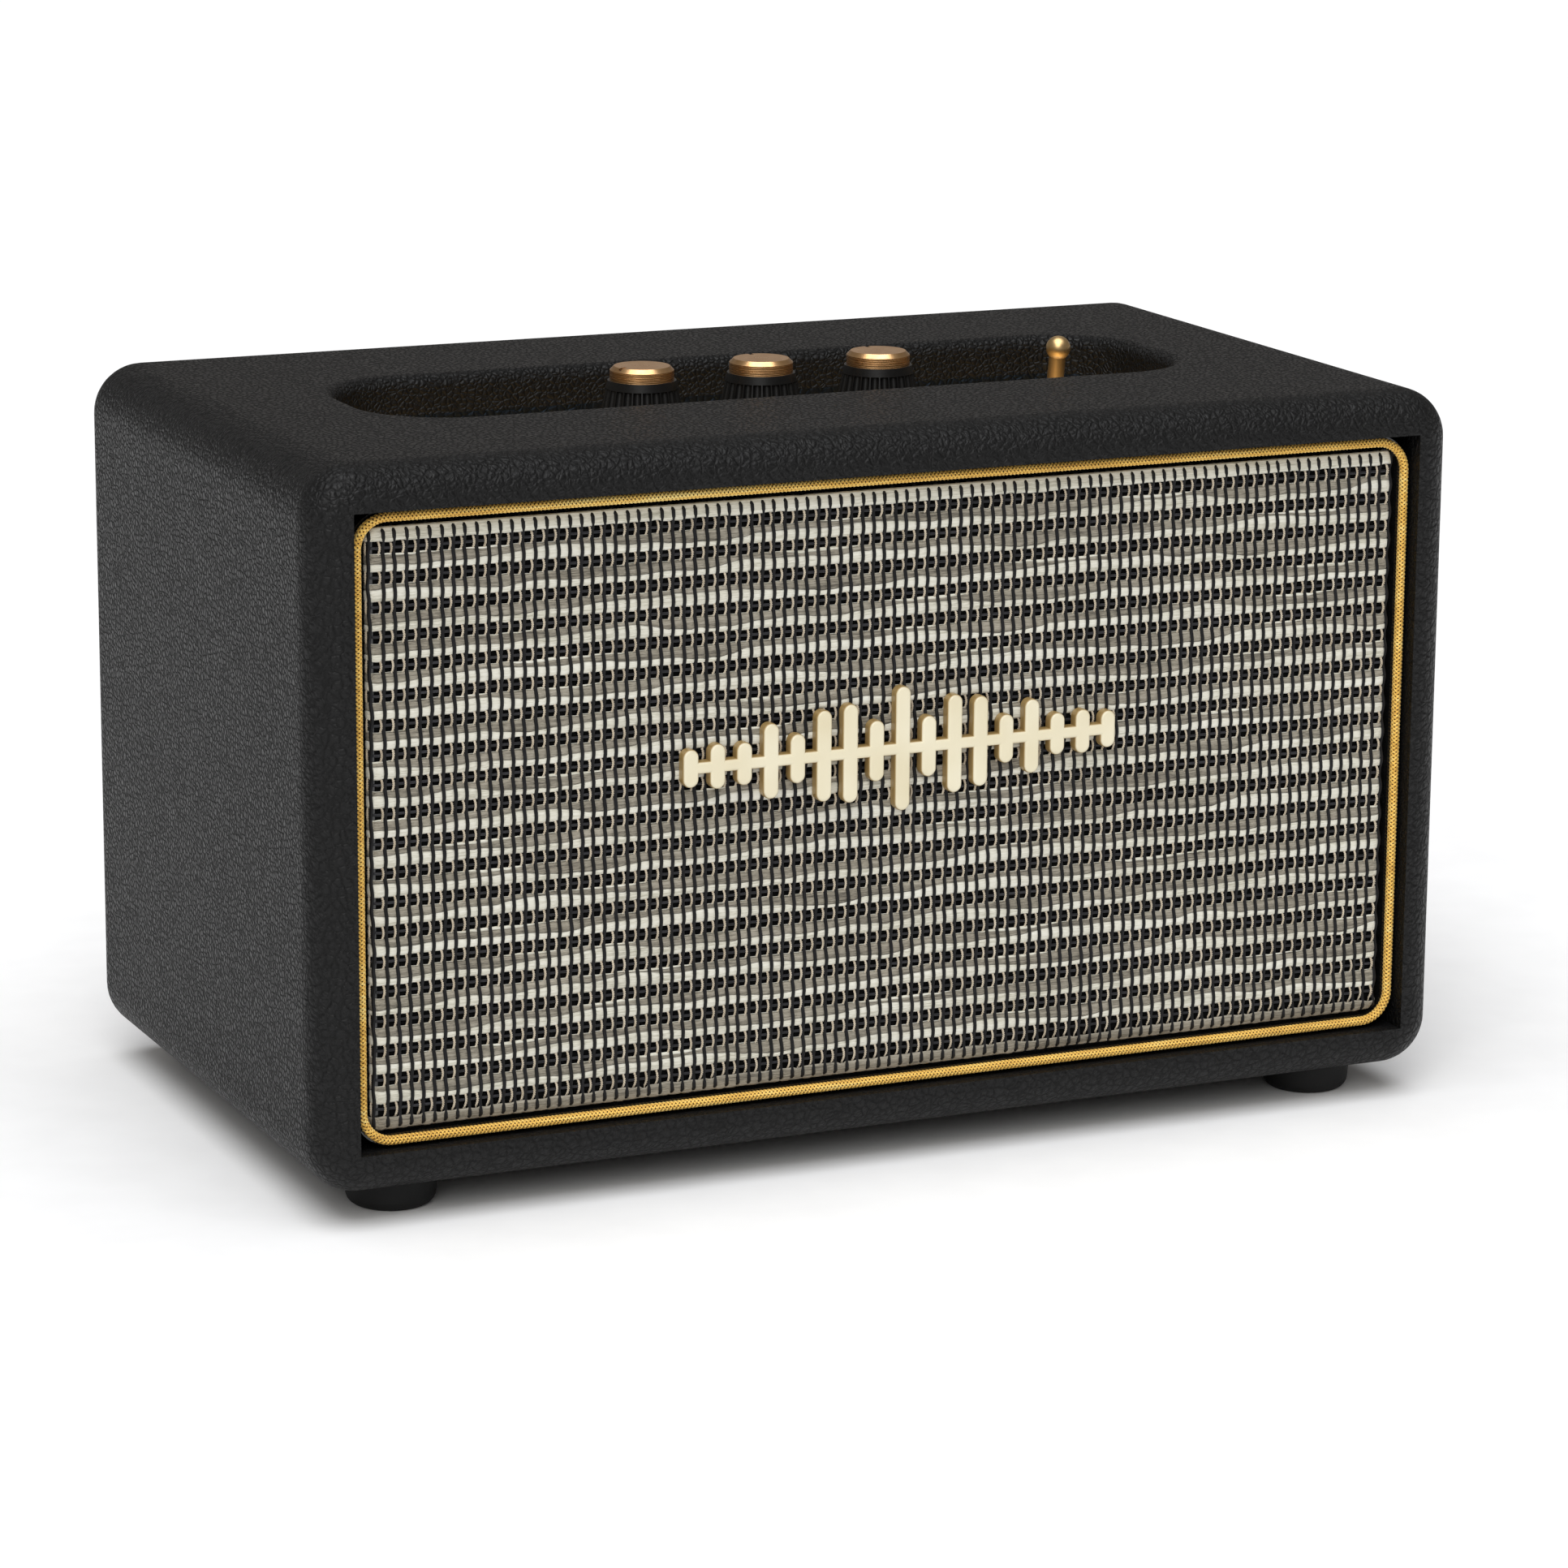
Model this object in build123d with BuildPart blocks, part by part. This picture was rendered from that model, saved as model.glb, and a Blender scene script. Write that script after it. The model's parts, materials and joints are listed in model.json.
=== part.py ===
from build123d import *
from math import cos, pi, radians, sin, sqrt
import os

# A compact active loudspeaker in the style of a guitar amplifier.
# Millimetres. +X is the right-hand side seen from the front, the front faces -Y and +Z is up.
# The origin is on the surface that the feet stand on, under the middle of the cabinet.

# Cabinet
width = 265.0
depth = 150.0
height = 153.0  # without the feet
corner_radius = 11.0  # the four edges that run from front to back
edge_radius = 8.5  # the edges round the front and round the back
board = 8.0  # thickness of the wooden boards
vinyl = 0.7  # thickness of the covering
foot_height = 7.0
foot_radius = 10.0
foot_taper = 0.65  # how much narrower the sole is, on the radius
foot_sole_radius = 2.5
foot_inset_x = 22.7  # from the cabinet's side to the foot's centre
foot_inset_y = 19.0
case_screw_radius = 1.75
case_screw_head = 3.4
case_screw_play = 0.8  # round the head in a foot

# Front
baffle_setback = 16.0
baffle_thickness = 9.0
frame_clearance = 0.3  # round the grille, so that it pulls out
frame_thickness = 5.0
frame_corner = 8.0
piping_radius = 1.0
piping_depth = 3.76  # from the cabinet's front to the middle of the piping
piping_inset = 1.4  # from the frame's edge to the middle of the piping
piping_corner = 6.5
cloth_thickness = 0.8
groove_land = 0.1  # between the piping and the groove
cloth_fold = 2.4  # how far the cloth turns back into its groove
groove_width = 1.1
groove_depth = 3.0
badge_rise = 7.7  # above the cabinet's middle
badge_height = 27.0
badge_thickness = 2.4
badge_bars = 8  # on each side of the middle one
badge_margin = 2.3  # from the hole behind the badge to its outer bars, which hold its studs
badge_bar_width = 3.6
badge_spine = 2.6
badge_stud_radius = 1.2
badge_beat = 1.25  # radians from bar to bar, which sets how often the bars swell
frame_hole_margin = 2.5  # round the basket's mouth
frame_tweeter_hole = 23.0
cloth_corner = 3.0
pin_radius = 2.0
pin_length = 10.0
pin_seat = 2.5
pin_inset_x = 15.0  # from the frame's edge
pin_inset_z = 15.0
pin_clearance = 0.3
socket_radius = 4.0
socket_collar = 5.5
socket_collar_height = 1.0

# Controls in the top
recess_length = 192.0
recess_width = 52.0
recess_corner = 19.0
recess_depth = 12.0
recess_y = 1.5
lip_radius = 3.0
plate_thickness = 1.2
plate_lap = 6.0  # how far the plate reaches under the tray
tray_lap = 14.0  # how far the tray reaches under the top board
knob_pitch = 28.5
knob_cap_radius = 7.05
knob_cap_height = 3.1
knob_cap_chamfer = 0.9
knob_cap_spigot = 5.0
knob_spigot_height = 1.6
knob_step = 0.5  # from the cap's side out to the skirt's
knob_flare = 2.45  # how much wider the skirt is at its foot
knob_flutes = 24
knob_flute_radius = 0.9
knob_rise = 3.6  # above the cabinet's top
knob_gap = 0.6  # over the plate
pointer_width = 0.9
pointer_length = 2.2
pointer_depth = 0.5
volume_angle = 110.0  # the volume knob stands turned down, anticlockwise from 12 o'clock
shaft_radius = 3.0
shaft_play = 0.05
bushing_wall = 0.5
bushing_height = 3.6  # above the plate
nut_flat = 10.0
nut_height = 2.0
nut_chamfer = 0.3
nut_room = 1.1
pot_radius = 8.2
pot_height = 8.0
circuit_board = 1.6
circuit_board_width = 40.0
toggle_inset = 23.5  # from the recess's right-hand end
toggle_lean = 9.0
toggle_radius = 1.9
toggle_ball = 2.75
toggle_ball_rise = 1.8  # of the ball's centre above the cabinet's top
toggle_pivot = 2.3
toggle_pivot_rise = 2.0  # of the pivot above the plate
toggle_bushing = 3.2
toggle_body_length = 13.0
toggle_body_width = 8.0
aux_inset = 16.0  # from the recess's left-hand end
aux_bore = 1.8
aux_bushing = 3.0
aux_body = 11.0
source_gap = 22.0  # from the jack to the button
pair_gap = 22.5  # from the toggle to the button
button_radius = 4.0
button_play = 0.3
button_rise = 2.0
button_travel = 0.8
button_flange = 1.2
button_stem_gap = 0.2  # over the pressed switch
switch_side = 6.0
switch_height = 4.6
lens_radius = 1.25
lens_rise = 0.6
lens_gap = 12.0  # from the source button to its lenses
lens_spread = 5.0
pair_lens_gap = 11.0

# Woofer
woofer_flange_lap = 6.5  # past the hole in the baffle
woofer_flange = 3.0
basket_mouth = 44.0
woofer_hole_play = 2.0
basket_neck = 30.0
basket_wall = 1.5
basket_length = 28.0
roll_span = 6.4  # width of the surround's roll
roll_overhang = 0.8  # of the roll past the basket's mouth
cone_depth = 16.0
cone_wall = 1.3
cone_rim = 2.0
dust_cap_lap = 3.2
dust_cap_rise = 6.0
coil_radius = 12.5
coil_wall = 0.3
winding = 0.5
magnet_gap = 0.4
coil_overhang = 2.0  # of the winding past the top plate, each way
former_tail = 4.0
top_plate = 4.0
magnet_radius = 33.0
magnet_room = 3.7  # inside the magnet, round the coil
magnet_length = 12.0
magnet_chamfer = 1.0
roll_wall = 0.6
spider_wall = 0.6
spider_gap = 5.0  # the basket's windows stop this far from its two ends
basket_window = 22.0
woofer_screw_inset = 3.6  # from the flange's edge
tweeter_screw_inset = 3.2
driver_screw_radius = 1.6
driver_screw_head = 2.9

# Tweeters
tweeter_inset = 31.8  # from the cabinet's inner side to the tweeter's centre
tweeter_drop = 45.8  # from its inner top
tweeter_radius = 25.0
tweeter_flange = 3.0
tweeter_hole_play = 1.0
tweeter_motor_radius = 20.0
tweeter_motor_length = 16.0
dome_radius = 9.0
dome_wall = 0.5
dome_play = 0.4
dome_rise = 3.6
dome_well = 3.0  # room behind the dome's foot, and its depth
dome_gap_depth = 7.0

# Back and inside
rear_setback = 4.0
rear_panel_thickness = 6.0
rear_panel_corner = 1.5
rear_panel_edge = 1.0
batten = 8.0
batten_screw_depth = 6.0
port_x = -70.0
port_rise = 10.0
port_radius = 17.0
port_wall = 2.0
port_flare = 5.0
port_flare_length = 10.0
port_length = 62.5
port_flare_arc = 13.0
port_flange = 8.0
port_flange_thickness = 1.5
inlet_inset = 43.8  # from the cabinet's inner side
inlet_drop = 25.0  # below the cabinet's middle
inlet_length = 22.0
inlet_height = 13.0
inlet_flange = 3.0
inlet_flange_thickness = 2.0
inlet_socket_length = 16.4
inlet_socket_height = 9.0
inlet_socket_depth = 14.0
inlet_pin_radius = 1.2
inlet_pin_pitch = 8.6
inlet_pin_length = 11.0
inlet_tail = 5.0
main_board_gap = 16.8  # from the cabinet's inner side
main_board_setback = 38.0  # from the rear panel to the board's middle
main_board_length = 90.0
main_board_width = 52.0
standoff_height = 6.0
standoff_radius = 3.0
standoff_inset = 4.0
capacitor_radius = 5.5
capacitor_height = 20.0
capacitor_top = 1.0  # its rounded edge
sink_width = 28.0
sink_length = 36.0
sink_base = 4.0
sink_fin = 1.6
sink_fin_pitch = 5.2
sink_fin_height = 18.0
sink_fins = 6
core_length = 38.0
core_width = 18.0
core_height = 30.0
coil_length = 26.0
coil_width = 30.0
coil_height = 18.0
coil_corner = 3.0
wire_radius = 1.2
wadding_thickness = 12.0
wadding_gap = 12.5  # from the baffle and from the rear panel
wadding_corner = 3.0

# Levels and places that follow from these
front = -depth / 2
back = depth / 2
bottom = foot_height
top = foot_height + height
middle = foot_height + height / 2
wall = vinyl + board
tunnel_width = width - 2 * wall
tunnel_height = height - 2 * wall
mouth_width = tunnel_width - 2 * vinyl
mouth_height = tunnel_height - 2 * vinyl
ceiling = top - wall
floor_level = bottom + wall
baffle_front = front + baffle_setback
baffle_back = baffle_front + baffle_thickness
panel_outside = back - rear_setback
panel_inside = panel_outside - rear_panel_thickness
inside_middle = (baffle_back + panel_inside) / 2
frame_width = mouth_width - 2 * frame_clearance
frame_height = mouth_height - 2 * frame_clearance
frame_front = front + piping_depth + piping_radius
frame_back = frame_front + frame_thickness
cloth_front = frame_front - cloth_thickness
plate_top = top - recess_depth
plate_under = plate_top - plate_thickness
board_top = plate_under - pot_height  # the control circuit board's upper face
main_level = floor_level + standoff_height + circuit_board
aux_x = aux_inset - recess_length / 2
source_x = aux_x + source_gap
toggle_x = recess_length / 2 - toggle_inset
pair_x = toggle_x - pair_gap
inlet_x = tunnel_width / 2 - inlet_inset
main_board_x = tunnel_width / 2 - main_board_gap - main_board_length / 2
main_board_y = panel_inside - main_board_setback
knob_top_radius = knob_cap_radius + knob_step
knob_base_radius = knob_top_radius + knob_flare
bushing_radius = shaft_radius + bushing_wall
woofer_centre = middle
woofer_hole = basket_mouth + basket_wall + woofer_hole_play
woofer_flange_radius = woofer_hole + woofer_flange_lap
woofer_screw_circle = woofer_flange_radius - woofer_screw_inset
frame_woofer_hole = basket_mouth + frame_hole_margin
badge_pitch = (frame_woofer_hole + badge_margin) / badge_bars
cone_radius = basket_mouth + roll_overhang - roll_span
coil_outside = coil_radius + coil_wall + winding
magnet_hole = coil_outside + magnet_room
plate_radius = basket_neck
tweeter_x = tunnel_width / 2 - tweeter_inset
tweeter_rise = tunnel_height / 2 - tweeter_drop
tweeter_hole = tweeter_motor_radius + tweeter_hole_play
tweeter_screw_circle = tweeter_radius - tweeter_screw_inset
tweeter_places = [(-tweeter_x, tweeter_rise), (tweeter_x, tweeter_rise)]
foot_places = [
    (x * (width / 2 - foot_inset_x), y * (depth / 2 - foot_inset_y)) for x in (-1, 1) for y in (-1, 1)
]
pin_places = [
    (x * (frame_width / 2 - pin_inset_x), z * (frame_height / 2 - pin_inset_z))
    for x in (-1, 1)
    for z in (-1, 1)
]
knob_places = {"volume": -knob_pitch, "bass": 0.0, "treble": knob_pitch}
cap_under = top + knob_rise - knob_cap_height
shaft_top = cap_under - knob_spigot_height
lens_places = [
    (source_x + lens_gap, lens_spread),
    (source_x + lens_gap, -lens_spread),
    (pair_x + pair_lens_gap, 0.0),
]
cloth_inset = piping_inset + piping_radius + groove_land + groove_width
cloth_width = frame_width - 2 * cloth_inset
cloth_height = frame_height - 2 * cloth_inset
badge_studs = [(x * badge_bars * badge_pitch, badge_rise) for x in (-1, 1)]
port_place = (port_x, port_rise)
inlet_place = (inlet_x, -inlet_drop)
woofer_screw_places = [
    (x * woofer_screw_circle / 2**0.5, z * woofer_screw_circle / 2**0.5)
    for x in (-1, 1)
    for z in (-1, 1)
]
tweeter_screw_places = [
    (x + i * tweeter_screw_circle / 2**0.5, z + j * tweeter_screw_circle / 2**0.5)
    for x, z in tweeter_places
    for i in (-1, 1)
    for j in (-1, 1)
]
driver_screw_places = woofer_screw_places + tweeter_screw_places
panel_screw_x = mouth_width / 2 - case_screw_head - case_screw_play
panel_screw_z = mouth_height / 2 - case_screw_head - case_screw_play
panel_screw_places = [
    (x * panel_screw_x, z * panel_screw_z) for x in (-1, 0, 1) for z in (-1, 1)
]


def facing(y, x=0.0, z=middle):
    """A sketch plane that looks out of the front: X to the right, Z up, at depth y."""
    return Plane(origin=(x, y, z), x_dir=(1, 0, 0), z_dir=(0, -1, 0))


def rear(y, x, z):
    """A sketch plane that looks out of the back, at x and at z above the cabinet's middle."""
    return Plane(origin=(x, y, middle + z), x_dir=(-1, 0, 0), z_dir=(0, 1, 0))


def level(z, x=0.0, y=0.0):
    """A sketch plane that looks up, at height z."""
    return Plane(origin=(x, y, z))


def turned_y(x, z, outline):
    """A form turned about a front-to-back axis through (x, z). The outline is (radius, y) points."""
    with BuildPart() as form:
        with BuildSketch(Plane(origin=(x, 0, z))):
            with BuildLine():
                Polyline(*outline, close=True)
            make_face()
        revolve(axis=Axis((x, 0, z), (0, 1, 0)))
    return form.part


def turned_z(x, y, outline):
    """A form turned about an upright axis through (x, y). The outline is (radius, z) points."""
    with BuildPart() as form:
        with BuildSketch(facing(y, x, 0)):
            with BuildLine():
                Polyline(*outline, close=True)
            make_face()
        revolve(axis=Axis((x, y, 0), (0, 0, 1)))
    return form.part


def cap_middle(radius, crown, rim):
    """A point halfway along a round cap's profile, from its crown on the axis to its rim."""
    rise = rim - crown
    sphere = (radius**2 + rise**2) / (2 * rise)
    return (radius / 2, crown + sphere - sqrt(sphere**2 - radius**2 / 4))


def screws(plane, places, radius, length, head_radius, head_height):
    """Cross-head screws at places on a plane, their heads standing out along its normal."""
    with BuildPart() as group:
        with BuildSketch(plane):
            with Locations(*places):
                Circle(head_radius)
        extrude(amount=head_height)
        crowns = group.faces().filter_by(lambda face: face.normal_at().dot(plane.z_dir) > 0.99)
        fillet(crowns.edges(), head_height * 0.4)
        with BuildSketch(plane):
            with Locations(*places):
                Circle(radius)
        extrude(amount=-length)
        with BuildSketch(plane.offset(head_height)):
            with Locations(*places):
                Rectangle(head_radius, head_radius / 4)
                Rectangle(head_radius / 4, head_radius)
        extrude(amount=-head_height / 2, mode=Mode.SUBTRACT)
    return group.part


def wire(*points, bend=6.0):
    """A round lead along straight runs joined by arcs."""
    with BuildPart() as lead:
        with BuildLine() as route:
            FilletPolyline(*points, radius=bend)
        with BuildSketch(Plane(origin=route.line @ 0, z_dir=route.line % 0)):
            Circle(wire_radius)
        sweep(path=route.line)
    return lead.part


# The cabinet: four mitred boards under one vinyl covering


def cabinet_block(inset):
    """The cabinet's outer form drawn in by inset on every side, with the recess in its top."""
    with BuildPart() as block:
        with BuildSketch(facing(front + inset)):
            RectangleRounded(width - 2 * inset, height - 2 * inset, corner_radius - inset)
        extrude(amount=-(depth - 2 * inset))
        fillet(block.faces().filter_by(Axis.Y).edges(), edge_radius - inset)
        with BuildSketch(level(ceiling, 0, recess_y)):
            RectangleRounded(
                recess_length + 2 * inset, recess_width + 2 * inset, recess_corner + inset
            )
        extrude(amount=top - ceiling, mode=Mode.SUBTRACT)
        rim = block.faces().sort_by(Axis.Z)[-1].inner_wires()[0]
        fillet(rim.edges(), lip_radius - inset)
    return block.part


with BuildPart() as wooden_case:
    add(cabinet_block(vinyl))
    with BuildSketch(facing(front)):
        Rectangle(tunnel_width, tunnel_height)
    extrude(amount=-depth, mode=Mode.SUBTRACT)


def mitred(*corners):
    """One board of the wooden case: what lies inside a trapezium with mitred ends."""
    with BuildPart() as piece:
        add(wooden_case.part)
        with BuildSketch(facing(front)):
            with BuildLine():
                Polyline(*corners, close=True)
            make_face()
        extrude(amount=-depth, mode=Mode.INTERSECT)
    return piece.part


right, up = width / 2, height / 2
inner_right, inner_up = right - wall, up - wall
tray_screw_x = recess_length / 2 + (plate_lap + tray_lap) / 2
tray_screw_y = recess_width / 2 + (plate_lap + tray_lap) / 2
tray_screw_places = [
    (x * tray_screw_x, recess_y + y * tray_screw_y) for x in (-1, 0, 1) for y in (-1, 1)
]
tray_screw_depth = board * 0.6
foot_screw_depth = wall * 0.8

with BuildPart() as top_board:
    add(mitred((-right, up), (right, up), (inner_right, inner_up), (-inner_right, inner_up)))
    with BuildSketch(level(ceiling)):
        with Locations(*tray_screw_places):
            Circle(case_screw_radius)
    extrude(amount=tray_screw_depth, mode=Mode.SUBTRACT)

with BuildPart() as bottom_board:
    add(mitred((-right, -up), (right, -up), (inner_right, -inner_up), (-inner_right, -inner_up)))
    with BuildSketch(level(bottom)):
        with Locations(*foot_places):
            Circle(case_screw_radius)
    extrude(amount=foot_screw_depth, mode=Mode.SUBTRACT)

with BuildPart() as left_board:
    add(mitred((-right, -up), (-right, up), (-inner_right, inner_up), (-inner_right, -inner_up)))

with BuildPart() as right_board:
    add(mitred((right, -up), (right, up), (inner_right, inner_up), (inner_right, -inner_up)))

with BuildPart() as vinyl_covering:
    add(cabinet_block(0))
    add(wooden_case.part, mode=Mode.SUBTRACT)
    with BuildSketch(facing(front)):
        Rectangle(mouth_width, mouth_height)
    extrude(amount=-depth, mode=Mode.SUBTRACT)
    with BuildSketch(facing(baffle_front)):
        Rectangle(tunnel_width, tunnel_height)
    extrude(amount=-(panel_inside - baffle_front), mode=Mode.SUBTRACT)
    with BuildSketch(level(bottom)):
        with Locations(*foot_places):
            Circle(case_screw_radius)
    extrude(amount=vinyl, mode=Mode.SUBTRACT)

foot_profile = [
    (0, 0),
    (foot_radius - foot_taper, 0),
    (foot_radius, foot_height),
    (0, foot_height),
]
with BuildPart() as feet:
    for place in foot_places:
        add(turned_z(*place, foot_profile))
    soles = feet.faces().group_by(Axis.Z)[0]
    fillet(soles.edges(), foot_sole_radius)
    with BuildSketch(level(0)):
        with Locations(*foot_places):
            Circle(case_screw_head + case_screw_play)
    extrude(amount=foot_height / 2, mode=Mode.SUBTRACT)
    with BuildSketch(level(0)):
        with Locations(*foot_places):
            Circle(case_screw_radius)
    extrude(amount=foot_height, mode=Mode.SUBTRACT)

# The baffle, the rear panel and its battens

with BuildPart() as front_baffle:
    with BuildSketch(facing(baffle_front)):
        Rectangle(tunnel_width, tunnel_height)
        Circle(woofer_hole, mode=Mode.SUBTRACT)
        with Locations(*tweeter_places):
            Circle(tweeter_hole, mode=Mode.SUBTRACT)
        with Locations(*pin_places):
            Circle(socket_radius, mode=Mode.SUBTRACT)
        with Locations(*driver_screw_places):
            Circle(driver_screw_radius, mode=Mode.SUBTRACT)
    extrude(amount=-baffle_thickness)

with BuildPart() as rear_battens:
    with BuildSketch(facing(panel_inside - batten)):
        Rectangle(tunnel_width, tunnel_height)
        Rectangle(tunnel_width - 2 * batten, tunnel_height - 2 * batten, mode=Mode.SUBTRACT)
    extrude(amount=-batten)
    for x in (-1, 1):
        split(
            bisect_by=Plane(origin=(x * (tunnel_width / 2 - batten), 0, 0), z_dir=(1, 0, 0)),
            keep=Keep.BOTH,
        )
    with BuildSketch(facing(panel_inside)):
        with Locations(*panel_screw_places):
            Circle(case_screw_radius)
    extrude(amount=batten_screw_depth, mode=Mode.SUBTRACT)

with BuildPart() as rear_panel:
    with BuildSketch(facing(panel_inside)):
        Rectangle(mouth_width - 2 * frame_clearance, mouth_height - 2 * frame_clearance)
        with Locations(port_place):
            Circle(port_radius + port_flare, mode=Mode.SUBTRACT)
        with Locations(inlet_place):
            RectangleRounded(inlet_length, inlet_height, inlet_flange, mode=Mode.SUBTRACT)
        with Locations(*panel_screw_places):
            Circle(case_screw_radius, mode=Mode.SUBTRACT)
    extrude(amount=-rear_panel_thickness)
    fillet(rear_panel.edges().filter_by(Axis.Y).filter_by(GeomType.LINE), rear_panel_corner)
    fillet(rear_panel.faces().sort_by(Axis.Y)[-1].outer_wire().edges(), rear_panel_edge)

with BuildPart() as bass_port:
    with BuildSketch(Plane(origin=(port_x, 0, middle + port_rise))):
        with BuildLine():
            inner = port_radius
            outer = port_radius + port_wall
            mouth = port_radius + port_flare
            flange_y = panel_outside + port_flange_thickness
            flare_y = flange_y - port_flare_length
            Polyline(
                (inner, flare_y),
                (inner, panel_outside - port_length),
                (outer, panel_outside - port_length),
                (outer, flare_y - port_wall),
                (mouth, panel_inside - port_wall),
                (mouth, panel_outside),
                (mouth + port_flange, panel_outside),
                (mouth + port_flange, flange_y),
                (mouth, flange_y),
            )
            RadiusArc((inner, flare_y), (mouth, flange_y), -port_flare_arc)
        make_face()
    revolve(axis=Axis((port_x, 0, middle + port_rise), (0, 1, 0)))

with BuildPart() as mains_inlet:
    outside = rear(panel_outside + inlet_flange_thickness, *inlet_place)
    with BuildSketch(outside):
        RectangleRounded(
            inlet_length + 2 * inlet_flange, inlet_height + 2 * inlet_flange, 2 * inlet_flange
        )
    extrude(amount=-inlet_flange_thickness)
    fillet(mains_inlet.faces().sort_by(Axis.Y)[-1].edges(), inlet_flange_thickness / 3)
    with BuildSketch(outside):
        RectangleRounded(inlet_length, inlet_height, inlet_flange)
    extrude(amount=-(inlet_socket_depth + 2 * inlet_flange_thickness))
    with BuildSketch(outside):
        SlotOverall(inlet_socket_length, inlet_socket_height)
    extrude(amount=-inlet_socket_depth, mode=Mode.SUBTRACT)
    with BuildSketch(outside):
        with GridLocations(inlet_pin_pitch, 0, 2, 1):
            Circle(inlet_pin_radius)
    extrude(amount=-(inlet_socket_depth + 2 * inlet_flange_thickness), mode=Mode.SUBTRACT)

with BuildPart() as inlet_pins:
    pin_root = rear(panel_outside + inlet_flange_thickness - inlet_socket_depth, *inlet_place)
    with BuildSketch(pin_root.offset(inlet_pin_length)):
        with GridLocations(inlet_pin_pitch, 0, 2, 1):
            Circle(inlet_pin_radius)
    extrude(amount=-(inlet_pin_length + 2 * inlet_flange_thickness + inlet_tail))
    tips = inlet_pins.faces().group_by(Axis.Y)[-1]
    fillet(tips.edges(), inlet_pin_radius * 0.7)

# The control tray, plate and circuit board under the recess

with BuildPart() as control_tray:
    with BuildSketch(level(plate_under, 0, recess_y)):
        grown = 2 * (plate_lap + tray_lap)
        RectangleRounded(
            recess_length + grown, recess_width + grown, recess_corner + plate_lap + tray_lap
        )
        RectangleRounded(recess_length, recess_width, recess_corner, mode=Mode.SUBTRACT)
    extrude(amount=ceiling - plate_under)
    with BuildSketch(level(plate_under, 0, recess_y)):
        RectangleRounded(
            recess_length + 2 * plate_lap, recess_width + 2 * plate_lap, recess_corner + plate_lap
        )
    extrude(amount=plate_thickness, mode=Mode.SUBTRACT)
    with BuildSketch(level(plate_under)):
        with Locations(*tray_screw_places):
            Circle(case_screw_radius)
    extrude(amount=ceiling - plate_under, mode=Mode.SUBTRACT)

with BuildPart() as control_plate:
    with BuildSketch(level(plate_under, 0, recess_y)):
        RectangleRounded(
            recess_length + 2 * plate_lap, recess_width + 2 * plate_lap, recess_corner + plate_lap
        )
        with Locations(*[(x, 0) for x in knob_places.values()]):
            Circle(bushing_radius, mode=Mode.SUBTRACT)
        with Locations((toggle_x, 0)):
            Circle(toggle_bushing, mode=Mode.SUBTRACT)
        with Locations((aux_x, 0)):
            Circle(aux_bushing, mode=Mode.SUBTRACT)
        with Locations((source_x, 0), (pair_x, 0)):
            Circle(button_radius + button_play, mode=Mode.SUBTRACT)
        with Locations(*lens_places):
            Circle(lens_radius, mode=Mode.SUBTRACT)
    extrude(amount=plate_thickness)

with BuildPart() as control_board:
    with BuildSketch(level(board_top, 0, recess_y)):
        Rectangle(recess_length, circuit_board_width)
    extrude(amount=-circuit_board)

with BuildPart() as potentiometers:
    for x in knob_places.values():
        with BuildSketch(level(board_top, x, recess_y)):
            Circle(pot_radius)
        extrude(amount=pot_height)
        with BuildSketch(level(plate_under, x, recess_y)):
            Circle(bushing_radius)
        extrude(amount=plate_thickness + bushing_height)
        with BuildSketch(level(board_top + pot_height / 2, x, recess_y)):
            Circle(shaft_radius + shaft_play)
        extrude(amount=plate_top + bushing_height - board_top, mode=Mode.SUBTRACT)

with BuildPart() as panel_nuts:
    with BuildSketch(level(plate_top)):
        for x in knob_places.values():
            with Locations((x, recess_y)):
                RegularPolygon(nut_flat / 2, 6, major_radius=False)
                Circle(bushing_radius, mode=Mode.SUBTRACT)
        with Locations((toggle_x, recess_y)):
            RegularPolygon(nut_flat / 2, 6, major_radius=False)
            Circle(toggle_bushing, mode=Mode.SUBTRACT)
        with Locations((aux_x, recess_y)):
            Circle(nut_flat / 2)
            Circle(aux_bushing, mode=Mode.SUBTRACT)
    extrude(amount=nut_height)
    chamfer(panel_nuts.faces().group_by(Axis.Z)[-1].edges().filter_by(GeomType.LINE), nut_chamfer)

with BuildPart() as toggle_switch:
    with BuildSketch(level(board_top, toggle_x, recess_y)):
        Rectangle(toggle_body_width, toggle_body_length)
    extrude(amount=pot_height)
    with BuildSketch(level(plate_under, toggle_x, recess_y)):
        Circle(toggle_bushing)
    extrude(amount=plate_thickness + bushing_height)
    toggle_bore = toggle_pivot + shaft_play
    bushing_top = plate_top + bushing_height
    pivot_z = plate_top + toggle_pivot_rise
    cavity_z = pivot_z - 2.6 * toggle_pivot
    add(
        turned_z(
            toggle_x,
            recess_y,
            [
                (0, cavity_z),
                (toggle_bore, cavity_z),
                (toggle_bore, pivot_z + toggle_pivot / 2),
                (toggle_bushing - 0.4, bushing_top),
                (0, bushing_top),
            ],
        ),
        mode=Mode.SUBTRACT,
    )

with BuildPart() as aux_jack:
    with BuildSketch(level(board_top, aux_x, recess_y)):
        Rectangle(aux_body, aux_body)
    extrude(amount=pot_height)
    with BuildSketch(level(plate_under, aux_x, recess_y)):
        Circle(aux_bushing)
    extrude(amount=plate_thickness + nut_height + 0.5)
    chamfer(aux_jack.faces().sort_by(Axis.Z)[-1].edges(), nut_chamfer)
    with BuildSketch(level(board_top + 1.0, aux_x, recess_y)):
        Circle(aux_bore)
    extrude(amount=pot_height + plate_thickness + nut_height, mode=Mode.SUBTRACT)

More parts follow.
